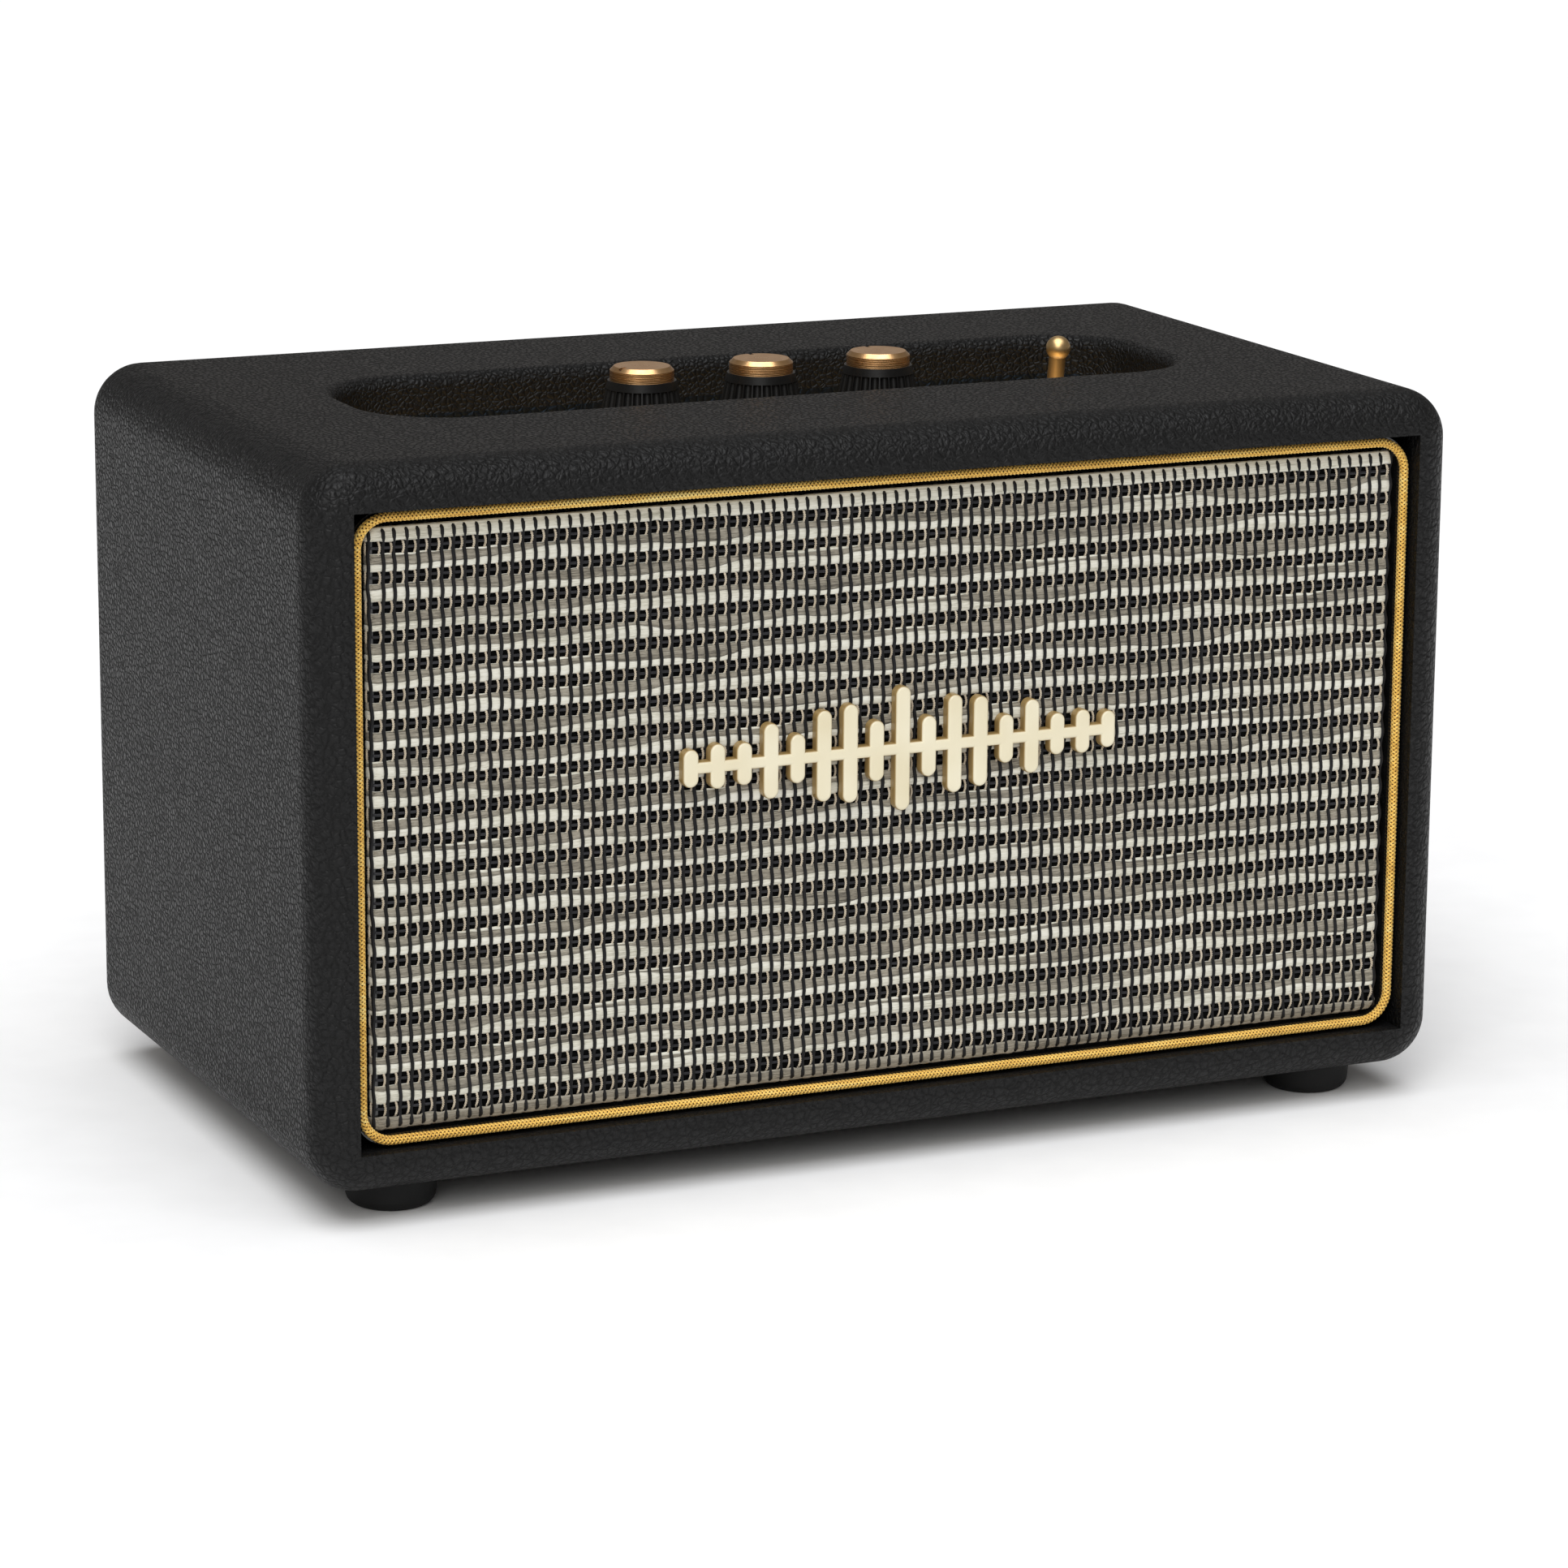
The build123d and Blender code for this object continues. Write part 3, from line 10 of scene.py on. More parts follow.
import bpy
import numpy as np
from mathutils import Matrix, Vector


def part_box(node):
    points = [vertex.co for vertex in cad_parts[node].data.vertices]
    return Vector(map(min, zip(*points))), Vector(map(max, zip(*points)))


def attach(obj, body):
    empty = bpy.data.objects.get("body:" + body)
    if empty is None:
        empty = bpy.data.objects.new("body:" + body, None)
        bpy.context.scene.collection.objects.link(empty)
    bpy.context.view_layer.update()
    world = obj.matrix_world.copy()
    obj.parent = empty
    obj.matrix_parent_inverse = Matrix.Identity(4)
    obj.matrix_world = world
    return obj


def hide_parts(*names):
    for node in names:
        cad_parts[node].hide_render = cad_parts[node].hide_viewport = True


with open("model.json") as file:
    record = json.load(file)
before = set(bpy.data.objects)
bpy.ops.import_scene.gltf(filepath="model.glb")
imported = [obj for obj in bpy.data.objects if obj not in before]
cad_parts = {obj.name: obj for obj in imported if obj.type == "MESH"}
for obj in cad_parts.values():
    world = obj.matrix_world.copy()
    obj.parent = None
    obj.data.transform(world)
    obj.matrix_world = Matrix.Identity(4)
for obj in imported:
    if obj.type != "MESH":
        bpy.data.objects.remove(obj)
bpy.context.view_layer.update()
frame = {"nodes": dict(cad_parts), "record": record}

MM = 0.001

# %% [markdown]
# ## Where things are
# A woven front has thousands of threads, but all of them hang on a few places of the frame, such as
# the board that the cloth is stretched on. The places are read from the CAD boxes, so a thread can't
# drift from the board it is meant to lie on, nor a mark from its knob.

# %% Places
CLOTH_THICKNESS = 0.8 * MM
KNOBS = ("volume", "bass", "treble")
cloth_low, cloth_high = (np.array(c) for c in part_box("grille_cloth"))
board_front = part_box("grille_frame")[0][1]
plate_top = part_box("control_plate")[1][2]
cloth_middle = (cloth_low + cloth_high) / 2
cloth_half = (cloth_high - cloth_low)[[0, 2]] / 2 - CLOTH_THICKNESS


def knob_axis(knob):
    """Where a knob's axis stands, x and y, and the level of its cap's top."""
    low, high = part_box(f"{knob}_cap")
    return (low[0] + high[0]) / 2, (low[1] + high[1]) / 2, high[2]


print("cloth", np.round(cloth_half * 2 / MM, 1), "board front", round(board_front / MM, 2))

# %% [markdown]
# ## Helpers for surfaces
# Nearly everything new here is a tube: a thread, a ribbon, a strand of braid. A tube is a section
# carried along a path. Worked out as whole arrays, thousands of them cost one call, where a loop of
# Blender curves would take minutes.

# %% Mesh from arrays


def mesh_piece(name, points, quads, caps=None, smooth=True):
    """An object from arrays: points (N, 3), four-sided faces (M, 4) and end caps (K, sides)."""
    mesh = bpy.data.meshes.new(name)
    loops = [quads.ravel()]
    totals = [np.full(len(quads), 4)]
    if caps is not None:
        loops.append(caps.ravel())
        totals.append(np.full(len(caps), caps.shape[1]))
    loops, totals = np.concatenate(loops), np.concatenate(totals)
    mesh.vertices.add(len(points))
    mesh.vertices.foreach_set("co", points.astype(np.float32).ravel())
    mesh.loops.add(len(loops))
    mesh.loops.foreach_set("vertex_index", loops.astype(np.int32))
    mesh.polygons.add(len(totals))
    mesh.polygons.foreach_set("loop_start", (np.cumsum(totals) - totals).astype(np.int32))
    mesh.polygons.foreach_set("loop_total", totals.astype(np.int32))
    mesh.polygons.foreach_set("use_smooth", np.full(len(totals), smooth))
    mesh.update(calc_edges=True)
    piece = bpy.data.objects.new(name, mesh)
    bpy.context.scene.collection.objects.link(piece)
    print(f"{name}: {len(points)} points, {len(totals)} faces")
    return piece


def finish_piece(piece, body, material):
    """The piece rides on a body and shows a material."""
    piece.data.materials.append(material)
    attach(piece, body)


# %% [markdown]
# ### Tubes
# The faces of many tubes follow from one array of point numbers, laid out as tube, ring and side:
# each face joins a point to its neighbour along the ring and to the same two of the next ring. Faces
# have to point outwards, and the signed volume inside them tells whether they do.

# %% Tubes


def volume(points, quads):
    """The signed volume inside four-sided faces: the sum of a . (b x c) / 6 over their triangles."""
    a, b, c, d = (points[quads[:, i]] for i in range(4))
    return (np.einsum("ij,ij", a, np.cross(b, c)) + np.einsum("ij,ij", a, np.cross(c, d))) / 6


def tube_faces(count, rings, sides, closed):
    """Faces for tubes laid out as (tube, ring, side): quads between rings, and a cap at each end."""
    index = np.arange(count * rings * sides).reshape(count, rings, sides)
    here, ahead = (index, np.roll(index, -1, 1)) if closed else (index[:, :-1], index[:, 1:])
    beside_here, beside_ahead = np.roll(here, -1, 2), np.roll(ahead, -1, 2)
    quads = np.stack([here, beside_here, beside_ahead, ahead], -1).reshape(-1, 4)
    if closed:
        return quads, None
    return quads, np.concatenate([index[:, 0, ::-1], index[:, -1]])


def tubes(name, path, across, out, wide, thick, sides, closed=False):
    """Threads with an oval section. path, across and out are (tube, ring, 3) arrays.

    A point at angle a of a ring is path + wide cos(a) across + thick sin(a) out.
    """
    angle = 2 * np.pi * np.arange(sides) / sides
    wide = np.broadcast_to(wide, path.shape[:2])[..., None, None]
    thick = np.broadcast_to(thick, path.shape[:2])[..., None, None]
    cos, sin = np.cos(angle)[:, None], np.sin(angle)[:, None]
    points = path[:, :, None] + wide * cos * across[:, :, None] + thick * sin * out[:, :, None]
    count, rings = path.shape[:2]
    points = points.reshape(-1, 3)
    quads, caps = tube_faces(count, rings, sides, closed)
    if volume(points, quads) < 0:
        quads = quads[:, ::-1]
        caps = None if caps is None else caps[:, ::-1]
    return mesh_piece(name, points, quads, caps)


# %% [markdown]
# ## Materials
# Each finish is a small node tree on Object coordinates, so that a pattern sits still on its piece in
# every view. A colour that varies is a ramp over noise, and relief is a bump with a distance in
# metres, so that a pebble of vinyl is as high as a real one.

# %% Node helpers


class Finish:
    """A material with a Principled shader, and short words for adding nodes to it."""

    def __init__(self, name, colour, roughness, metallic=0.0, **sockets):
        self.material = bpy.data.materials.new(name)
        self.material.use_nodes = True
        self.tree = self.material.node_tree
        self.shader = self.tree.nodes["Principled BSDF"]
        self.shader.inputs["Base Color"].default_value = (*colour, 1)
        self.shader.inputs["Roughness"].default_value = roughness
        self.shader.inputs["Metallic"].default_value = metallic
        for socket, value in sockets.items():
            self.shader.inputs[socket.replace("_", " ")].default_value = value
        self.material.diffuse_color = (*colour, 1)
        self.place = self.tree.nodes.new("ShaderNodeTexCoord").outputs["Object"]

    def node(self, kind, **settings):
        """A shader node. Each setting is one of its properties, or the value of a socket."""
        made = self.tree.nodes.new("ShaderNode" + kind)
        for name, value in settings.items():
            if hasattr(made, name) and name not in made.inputs:
                setattr(made, name, value)
            else:
                made.inputs[name.replace("_", " ")].default_value = value
        return made

    def link(self, source, target):
        """Feeds an output into an input."""
        self.tree.links.new(source, target)

    def stretched(self, scale):
        """Object coordinates, scaled along each axis."""
        mapping = self.node("Mapping", Scale=scale)
        self.link(self.place, mapping.inputs["Vector"])
        return mapping.outputs["Vector"]

    def noise(self, scale, detail=3.0, roughness=0.5, where=None):
        """Cloudy noise from 0 to 1, with a scale in clouds to the metre."""
        made = self.node("TexNoise", Scale=scale, Detail=detail, Roughness=roughness)
        self.link(where or self.place, made.inputs["Vector"])
        return made.outputs["Fac"]

    def cells(self, scale, where=None):
        """Irregular cells: 0 on the border between two of them, growing towards their middles."""
        made = self.node("TexVoronoi", feature="DISTANCE_TO_EDGE", Scale=scale)
        self.link(where or self.place, made.inputs["Vector"])
        return made.outputs["Distance"]

    def ramp(self, value, *stops):
        """A colour ramp over a value. Each stop is (position, (r, g, b)) or (position, grey)."""
        made = self.node("ValToRGB")
        ramp = made.color_ramp
        while len(ramp.elements) < len(stops):
            ramp.elements.new(0.5)
        for element, (position, colour) in zip(ramp.elements, stops):
            element.position = position
            colour = (colour,) * 3 if isinstance(colour, (int, float)) else colour
            element.color = (*colour, 1)
        self.link(value, made.inputs["Fac"])
        return made.outputs["Color"]

    def maths(self, operation, first, second=None, third=None):
        """One step of arithmetic. Each input is a number or another node's output."""
        made = self.node("Math", operation=operation)
        for socket, value in zip(made.inputs, (first, second, third)):
            if isinstance(value, (int, float)):
                socket.default_value = value
            elif value is not None:
                self.link(value, socket)
        return made.outputs["Value"]

    def mix(self, share, first, second):
        """A colour between two others. The Mix node keeps its colour sockets at places 6 and 7."""
        made = self.node("Mix", data_type="RGBA")
        for place, value in ((0, share), (6, first), (7, second)):
            socket = made.inputs[place]
            if isinstance(value, (int, float)):
                socket.default_value = value
            elif isinstance(value, tuple):
                socket.default_value = (*value, 1)
            else:
                self.link(value, socket)
        return made.outputs[2]

    def split(self, vector=None):
        """The x, y and z of a vector, or of the place on the object."""
        made = self.node("SeparateXYZ")
        self.link(vector or self.place, made.inputs[0])
        return made.outputs

    def normal(self):
        """The way the surface faces, as a vector of length 1."""
        return self.node("NewGeometry").outputs["Normal"]

    def colour(self, value):
        """Gives the surface its colour."""
        self.link(value, self.shader.inputs["Base Color"])

    def rough(self, value, low, high):
        """Roughness from low to high as a value goes from 0 to 1."""
        made = self.node("MapRange")
        made.inputs["To Min"].default_value = low
        made.inputs["To Max"].default_value = high
        self.link(value, made.inputs["Value"])
        self.link(made.outputs["Result"], self.shader.inputs["Roughness"])

    def relief(self, *heights):
        """Bumps one on another. Each is (value, height in mm of a value of 1)."""
        below = None
        for value, height in heights:
            made = self.node("Bump")
            made.inputs["Strength"].default_value = 1.0
            made.inputs["Distance"].default_value = height * MM
            self.link(value, made.inputs["Height"])
            if below:
                self.link(below, made.inputs["Normal"])
            below = made.outputs["Normal"]
        self.link(below, self.shader.inputs["Normal"])


# %% [markdown]
# ### Vinyl covering
# The cabinet's black vinyl is embossed like leather: rounded pebbles a little over a millimetre
# across, divided by fine creases, with a shallow unevenness from the board under it. Cell noise gives
# the creases, and a finer noise breaks up the pebbles' tops. Where the vinyl is pulled round the front
# border, the pebbles are stretched to about one and a half times their size. The crease is dull and
# the pebble a little shiny, which is what makes the grain read from a metre away. Inside the recess
# the gloss is tinted blue against the warm light that the brass plate throws on the walls.

# %% Vinyl
STRETCH_START = -65.5 * MM
STRETCH_WIDTH = 5.0 * MM


def vinyl_finish(name, small_scale, large_scale, gloss=(1.0, 1.0, 1.0)):
    """Embossed vinyl with pebbles of two scales, the large ones where it is stretched.

    The cells are read at a wandering place, the point plus a coloured noise of 1.2 mm, so that no
    crease is straight. The stretch grows from 0 to 1 along y, over its width past its start.
    """
    black = (0.005, 0.005, 0.005)
    made = Finish(name, black, 0.5, Specular_IOR_Level=0.24, Specular_Tint=(*gloss, 1.0))
    warped = made.node("VectorMath", operation="MULTIPLY_ADD")
    wander = made.node("TexNoise", Scale=420.0, Detail=2.0)
    made.link(made.place, wander.inputs["Vector"])
    made.link(wander.outputs["Color"], warped.inputs[0])
    warped.inputs[1].default_value = (1.2 * MM,) * 3
    made.link(made.place, warped.inputs[2])
    where = warped.outputs["Vector"]
    rounding = ((0.0, 0.0), (0.2, 0.75), (0.45, 1.0))
    small_pebble = made.ramp(made.cells(small_scale, where), *rounding)
    creased = made.ramp(made.cells(large_scale, where), *rounding)
    large_pebble = made.mix(0.35, creased, small_pebble)
    _, y, _ = made.split()
    share = made.maths("MULTIPLY_ADD", y, -1 / STRETCH_WIDTH, STRETCH_START / STRETCH_WIDTH)
    stretched = made.ramp(share, (0.0, 0.0), (1.0, 1.0))
    pebble = made.mix(stretched, small_pebble, large_pebble)
    small = made.noise(2600.0, 3.0, 0.6)
    broad = made.noise(60.0, 2.0)
    # Painted shade: the colour is darker in the creases between the pebbles, following the relief.
    made.colour(made.ramp(pebble, (0.1, 0.0015), (0.8, (0.006, 0.006, 0.0062))))
    made.rough(made.maths("MULTIPLY", pebble, made.maths("ADD", small, 0.5)), 0.66, 0.36)
    made.relief((broad, 0.5), (pebble, 0.30), (small, 0.06))
    return made.material


# %% [markdown]
# ### Metals
# The knob caps are turned brass: a lathe leaves fine rings, on the top as circles and down the side
# as lines. The rings depend only on the distance from the cap's own axis and on height, and the
# roughness follows them, so that the highlight spreads across the grooves.

# %% Brass and the other metals
POINTER_DEPTH = 0.3 * MM
SIDE_LINE_PITCH = 0.33 * MM


def turned_brass(name, axis_x, axis_y, top):
    """Brass with lathe rings about an upright axis, and a pointer groove whose floor is coloured
    near-black.

    The rings are a noise of one value, the distance from the axis plus the height. Below the top,
    what faces up is the groove's floor, coloured near-black and not metallic, and what faces sideways
    takes lines.
    """
    made = Finish(name, (0.80, 0.50, 0.22), 0.3, 1.0)
    x, y, z = made.split()
    dx, dy = made.maths("SUBTRACT", x, axis_x), made.maths("SUBTRACT", y, axis_y)
    squares = made.maths("ADD", made.maths("MULTIPLY", dx, dx), made.maths("MULTIPLY", dy, dy))
    profile = made.maths("ADD", made.maths("SQRT", squares), z)
    lines = made.node("TexNoise", noise_dimensions="1D", Scale=3600.0, Detail=2.0)
    made.link(profile, lines.inputs["W"])
    blotch = made.noise(700.0, 3.0)
    tint = made.ramp(blotch, (0.25, (0.70, 0.40, 0.17)), (0.75, (0.82, 0.52, 0.26)))
    # The pointer groove's floor, below the top and facing up, is coloured near-black and not metallic.
    sunk = made.maths("LESS_THAN", z, top - POINTER_DEPTH)
    _, _, up = made.split(made.normal())
    near_black_floor = made.maths("MULTIPLY", sunk, made.maths("GREATER_THAN", up, 0.9))
    # Painted shade: down the side, the hollows between the lathe lines are coloured a darker brown,
    # following the same sine as their relief.
    ripple = made.maths("SINE", made.maths("MULTIPLY", z, 2 * np.pi / SIDE_LINE_PITCH))
    cut = made.ramp(ripple, (0.0, 0.0), (0.6, 1.0))
    side = made.maths("LESS_THAN", up, 0.3)
    groove = made.maths("MULTIPLY", side, made.maths("SUBTRACT", 1.0, cut))
    tint = made.mix(groove, tint, (0.42, 0.21, 0.08))
    made.colour(made.mix(near_black_floor, tint, (0.012, 0.011, 0.01)))
    made.link(made.maths("SUBTRACT", 1.0, near_black_floor), made.shader.inputs["Metallic"])
    made.rough(lines.outputs["Fac"], 0.2, 0.42)
    made.relief((lines.outputs["Fac"], 0.05), (made.maths("MULTIPLY", side, cut), 0.04))
    return made.material


def brushed_metal(name, colour, grain, roughness, relief):
    """Metal brushed one way: noise stretched along the axis that grain scales least."""
    made = Finish(name, colour, 0.35, 1.0)
    streak = made.noise(1.0, 4.0, 0.6, made.stretched(grain))
    blotch = made.noise(90.0, 3.0)
    dull = tuple(c * 0.8 for c in colour)
    made.colour(made.ramp(blotch, (0.3, dull), (0.7, colour)))
    made.rough(streak, *roughness)
    made.relief((streak, relief))
    return made.material


# %% [markdown]
# ### Plastics, board, rubber and the rest
# Moulded plastic has a fine spark-eroded texture, fibreboard has short matt fibres, and rubber is
# dull. One function covers them, with the size and height of the grain and the range of the colour as
# its values.

# %% Grained finishes


def grained(name, dark, light, grain, height, roughness, metallic=0.0, **sockets):
    """A moulded or sprayed surface: colour from dark to light over blotches, with fine relief.

    A colour is (r, g, b), or a number for a grey.
    """
    dark, light = ((c,) * 3 if isinstance(c, float) else c for c in (dark, light))
    made = Finish(name, light, roughness[1], metallic, **sockets)
    fine = made.noise(grain, 4.0, 0.6)
    broad = made.noise(60.0, 3.0)
    cloud = made.maths("ADD", made.maths("MULTIPLY", fine, 0.4), made.maths("MULTIPLY", broad, 0.6))
    made.colour(made.ramp(cloud, (0.35, dark), (0.65, light)))
    made.rough(fine, *roughness)
    made.relief((fine, height))
    return made.material


# %% [markdown]
# ### Ornament, circuit board, lenses and cloth parts
# These each have something that the grained finish can't give: the ornament's edges are gold, the
# board shows copper tracks, the lenses let light through, and the loudspeakers' spiders, cones and
# domes show the cloth or the screen that they were pressed on.

# %% Finishes of their own


def cream_finish():
    """Cream plastic whose edges, where the face turns away from the front, are old gold."""
    made = Finish("cream ornament", (0.80, 0.73, 0.52), 0.35, 0.0, Coat_Weight=0.25)
    _, facing_y, _ = made.split(made.normal())
    fine = made.noise(900.0, 3.0)
    cream = made.ramp(made.noise(55.0, 2.0), (0.3, (0.74, 0.66, 0.45)), (0.7, (0.83, 0.77, 0.58)))
    edge = made.ramp(made.maths("ABSOLUTE", facing_y), (0.45, 1.0), (0.8, 0.0))
    made.colour(made.mix(edge, cream, (0.36, 0.24, 0.09)))
    made.rough(fine, 0.28, 0.42)
    made.relief((fine, 0.012))
    return made.material


def circuit_finish():
    """Green solder mask with paler copper tracks under it, along the borders of irregular cells."""
    made = Finish("circuit board", (0.02, 0.13, 0.06), 0.35)
    tracks = made.cells(260.0)
    made.colour(made.ramp(tracks, (0.03, (0.05, 0.26, 0.11)), (0.09, (0.015, 0.11, 0.05))))
    made.relief((tracks, 0.05))
    return made.material


def lens_finish():
    """A red lens that lets some light through, a little paler in places."""
    made = Finish("red lens", (0.5, 0.02, 0.015), 0.12, 0.0, Transmission_Weight=0.3, IOR=1.49)
    made.colour(made.ramp(made.noise(500.0), (0.3, (0.42, 0.012, 0.01)), (0.7, (0.62, 0.05, 0.03))))
    return made.material


def ribbed_cloth(name, dark, light, rate=5400.0, height=0.08, roughness=0.85):
    """Doped or impregnated cloth and paper: a crossed weave over cloudy colour.

    The weave is the sine of x times the sine of z, both at one rate in radians to the metre.
    """
    made = Finish(name, light, roughness, Sheen_Weight=0.15)
    x, _, z = made.split()
    ribs = (made.maths("SINE", made.maths("MULTIPLY", along, rate)) for along in (x, z))
    weave = made.maths("MULTIPLY", *ribs)
    made.colour(made.ramp(made.noise(240.0, 4.0), (0.3, dark), (0.7, light)))
    made.relief((weave, height * 0.5), (made.noise(1800.0, 3.0), height))
    return made.material


# %% [markdown]
# ### Dressing the CAD nodes
# The record names a slot for each node, such as brass or rubber, and each slot has one finish. The
# tray and the knobs' caps have finishes of their own, because the vinyl's pebbles are larger in the
# recess and each cap's rings lie about its own axis. The cloth and the piping are replaced further
# down, so what they wear here doesn't show.

# %% Dress the CAD nodes
BLACK_PLASTIC = grained(
    "black moulded plastic", (0.010, 0.010, 0.011), (0.022, 0.022, 0.023), 3200.0, 0.02, (0.42, 0.6)
)
finishes = {
    "vinyl": vinyl_finish("black pebbled vinyl", 800.0, 520.0),
    "mdf": grained(
        "raw fibreboard", (0.33, 0.22, 0.12), (0.50, 0.36, 0.22), 1500.0, 0.06, (0.75, 0.95)
    ),
    "black_mdf": grained(
        "black sprayed board", 0.010, (0.020, 0.019, 0.019), 1700.0, 0.07, (0.55, 0.8)
    ),
    "foot_rubber": grained(
        "black rubber", 0.004, 0.009, 2400.0, 0.03, (0.6, 0.85), Specular_IOR_Level=0.3
    ),
    "black_plastic": BLACK_PLASTIC,
    "knob_plastic": grained(
        "knob skirt", 0.003, 0.006, 2500.0, 0.012, (0.35, 0.5), Specular_IOR_Level=0.3
    ),
    "rim_black": grained(
        "black lacquer", 0.006, 0.011, 800.0, 0.01, (0.12, 0.25), Coat_Weight=0.5
    ),
    "brass": brushed_metal(
        "brushed brass", (0.80, 0.55, 0.26), (30, 2200, 2200), (0.28, 0.5), 0.012
    ),
    "nickel": brushed_metal(
        "nickel plate", (0.66, 0.64, 0.60), (300, 300, 300), (0.15, 0.3), 0.006
    ),
    "zinc_steel": brushed_metal(
        "zinc-plated steel", (0.55, 0.56, 0.55), (150, 150, 900), (0.3, 0.5), 0.01
    ),
    "black_steel": grained("black painted steel", 0.010, 0.02, 1400.0, 0.02, (0.3, 0.45)),
    "black_screw": grained(
        "black oxide", (0.010, 0.010, 0.011), (0.025, 0.025, 0.027), 2600.0, 0.012, (0.25, 0.4), 0.6
    ),
    "ferrite": grained(
        "ferrite", (0.03, 0.03, 0.033), (0.07, 0.07, 0.075), 1200.0, 0.04, (0.5, 0.8)
    ),
    "aluminium": brushed_metal(
        "satin aluminium", (0.72, 0.73, 0.75), (600, 30, 600), (0.35, 0.5), 0.01
    ),
    "circuit_board": circuit_finish(),
    "red_lens": lens_finish(),
    "wire_jacket": grained("lead jacket", 0.012, 0.03, 900.0, 0.01, (0.4, 0.55)),
    "wadding": grained(
        "polyester felt", (0.55, 0.55, 0.52), (0.78, 0.78, 0.75), 500.0, 0.6, (0.9, 1.0)
    ),
    "spider_cloth": ribbed_cloth("impregnated cotton", (0.36, 0.22, 0.07), (0.50, 0.33, 0.13)),
    "paper_cone": ribbed_cloth("coated paper", (0.012, 0.012, 0.013), (0.03, 0.03, 0.031), 1800.0),
    "dome_cloth": ribbed_cloth(
        "doped silk", (0.014, 0.014, 0.015), (0.03, 0.03, 0.032), 5400.0, 0.03, 0.5
    ),
    "copper_coil": brushed_metal(
        "copper winding", (0.78, 0.40, 0.22), (40, 4000, 40), (0.2, 0.45), 0.05
    ),
    "cream_plastic": cream_finish(),
}
slots = {part["node"]: part["material_slot"] for part in frame["record"]["subparts"]}
own_finish = {"control_tray": vinyl_finish("recess vinyl", 560.0, 560.0, (0.5, 0.72, 1.0))}
for knob in KNOBS:
    own_finish[f"{knob}_cap"] = turned_brass(f"{knob}_cap brass", *knob_axis(knob))


def dress(node, finish):
    """Gives a CAD node one finish in all its slots."""
    mesh = frame["nodes"][node].data
    if not mesh.materials:
        mesh.materials.append(finish)
    for i in range(len(mesh.materials)):
        mesh.materials[i] = finish


for node, slot in slots.items():
    dress(node, own_finish.get(node) or finishes.get(slot, BLACK_PLASTIC))
print(len(slots), "nodes dressed in", len(finishes) + len(own_finish), "finishes")

# %% [markdown]
# ## The grille cloth
# Amplifier cloth is an open weave. Flat ribbons run across it in bands: a grey one with an off-white
# one under it. Thin black cords run up it in front of the bands and pinch them, and between the bands
# a black cord crosses and pairs of cream plies, twisted together, stand in the open gaps. An image of
# cloth on a flat board would go dead when light moves over it, so every thread is a surface here,
# laid over a sheet of black scrim that hides the board.
#
# All of it is drawn in the cloth's own flat coordinates: s across, t up and h off the board. One
# function then lays a point on the board and turns it back round the board's edges, so that the
# threads fold into the groove as the stretched cloth does.

# %% From flat cloth to the board
WARP_COUNT = 94
WARP_PITCH = 2.54 * MM
BAND_COUNT = 21
BAND_INSET = 0.40 * MM
BAND_PITCH = 6.07 * MM
BAND_GROWTH = 0.0064 * MM
BAND_HALF = 1.85 * MM
EDGE_RADIUS = 1.0 * MM
FOLD_BACK = 2.2 * MM
half_s, half_t = cloth_half
warps = (np.arange(WARP_COUNT) - (WARP_COUNT - 1) / 2) * WARP_PITCH
order = np.arange(BAND_COUNT)
bands = half_t - BAND_INSET - BAND_PITCH * order - BAND_GROWTH * order**2
gaps = (bands[1:] + bands[:-1]) / 2
print("the lowest band lies at", round(bands[-1] / MM, 1), "of", round(-half_t / MM, 1))


def turned_back(flat, half, h):
    """Where a flat coordinate lies and how deep it is, for cloth that turns round an edge.

    Up to half less the radius it lies flat. Past that it follows a quarter circle of the radius plus
    h, and then runs straight back.
    """
    past = np.abs(flat) - (half - EDGE_RADIUS)
    angle = np.clip(past / EDGE_RADIUS, 0, np.pi / 2)
    straight = np.maximum(past - EDGE_RADIUS * np.pi / 2, 0)
    along = np.minimum(np.abs(flat), half - EDGE_RADIUS) + (EDGE_RADIUS + h) * np.sin(angle)
    depth = (EDGE_RADIUS + h) * (1 - np.cos(angle)) + straight
    return np.sign(flat) * along, depth


def laid(s, t, h):
    """Points (..., 3) of the stretched cloth: s across, t up and h off the board."""
    x, back_x = turned_back(s, half_s, h)
    z, back_z = turned_back(t, half_t, h)
    y = board_front - h + back_x + back_z
    return np.stack([cloth_middle[0] + x, y, cloth_middle[2] + z], -1)


def thread(name, s, t, h, wide, thick, sides):
    """Threads laid on the board: s, t and h are (thread, ring) arrays.

    The section is oval: wide in the cloth's plane and thick out of it. Its two directions come from
    the laid path's own tangent and the way off the board.
    """
    path = laid(s, t, h)
    out = laid(s, t, h + 0.2 * MM) - path
    out /= np.linalg.norm(out, axis=-1, keepdims=True)
    along = np.gradient(path, axis=1)
    across = np.cross(along, out)
    across /= np.maximum(np.linalg.norm(across, axis=-1, keepdims=True), 1e-12)
    return tubes(name, path, across, out, wide, thick, sides)


# %% [markdown]
# ### Lines that wander
# No thread of real cloth is straight, but it doesn't jump about either. A few sines with phases drawn
# at random add up to such a line. The seed is fixed, so the cloth is the same each time.

# %% Wandering lines


def wave(x, seed, count, lowest=1.0):
    """A smooth wandering line from -1 to 1: a sum of sines with seeded phases and falling heights."""
    draw = np.random.default_rng(seed)
    rate = lowest * (1 + np.arange(count)) * draw.uniform(0.7, 1.3, count)
    phase, size = draw.uniform(0, 2 * np.pi, count), 1 / (1 + np.arange(count))
    return (np.sin(x[..., None] * rate + phase) * size).sum(-1) / size.sum()


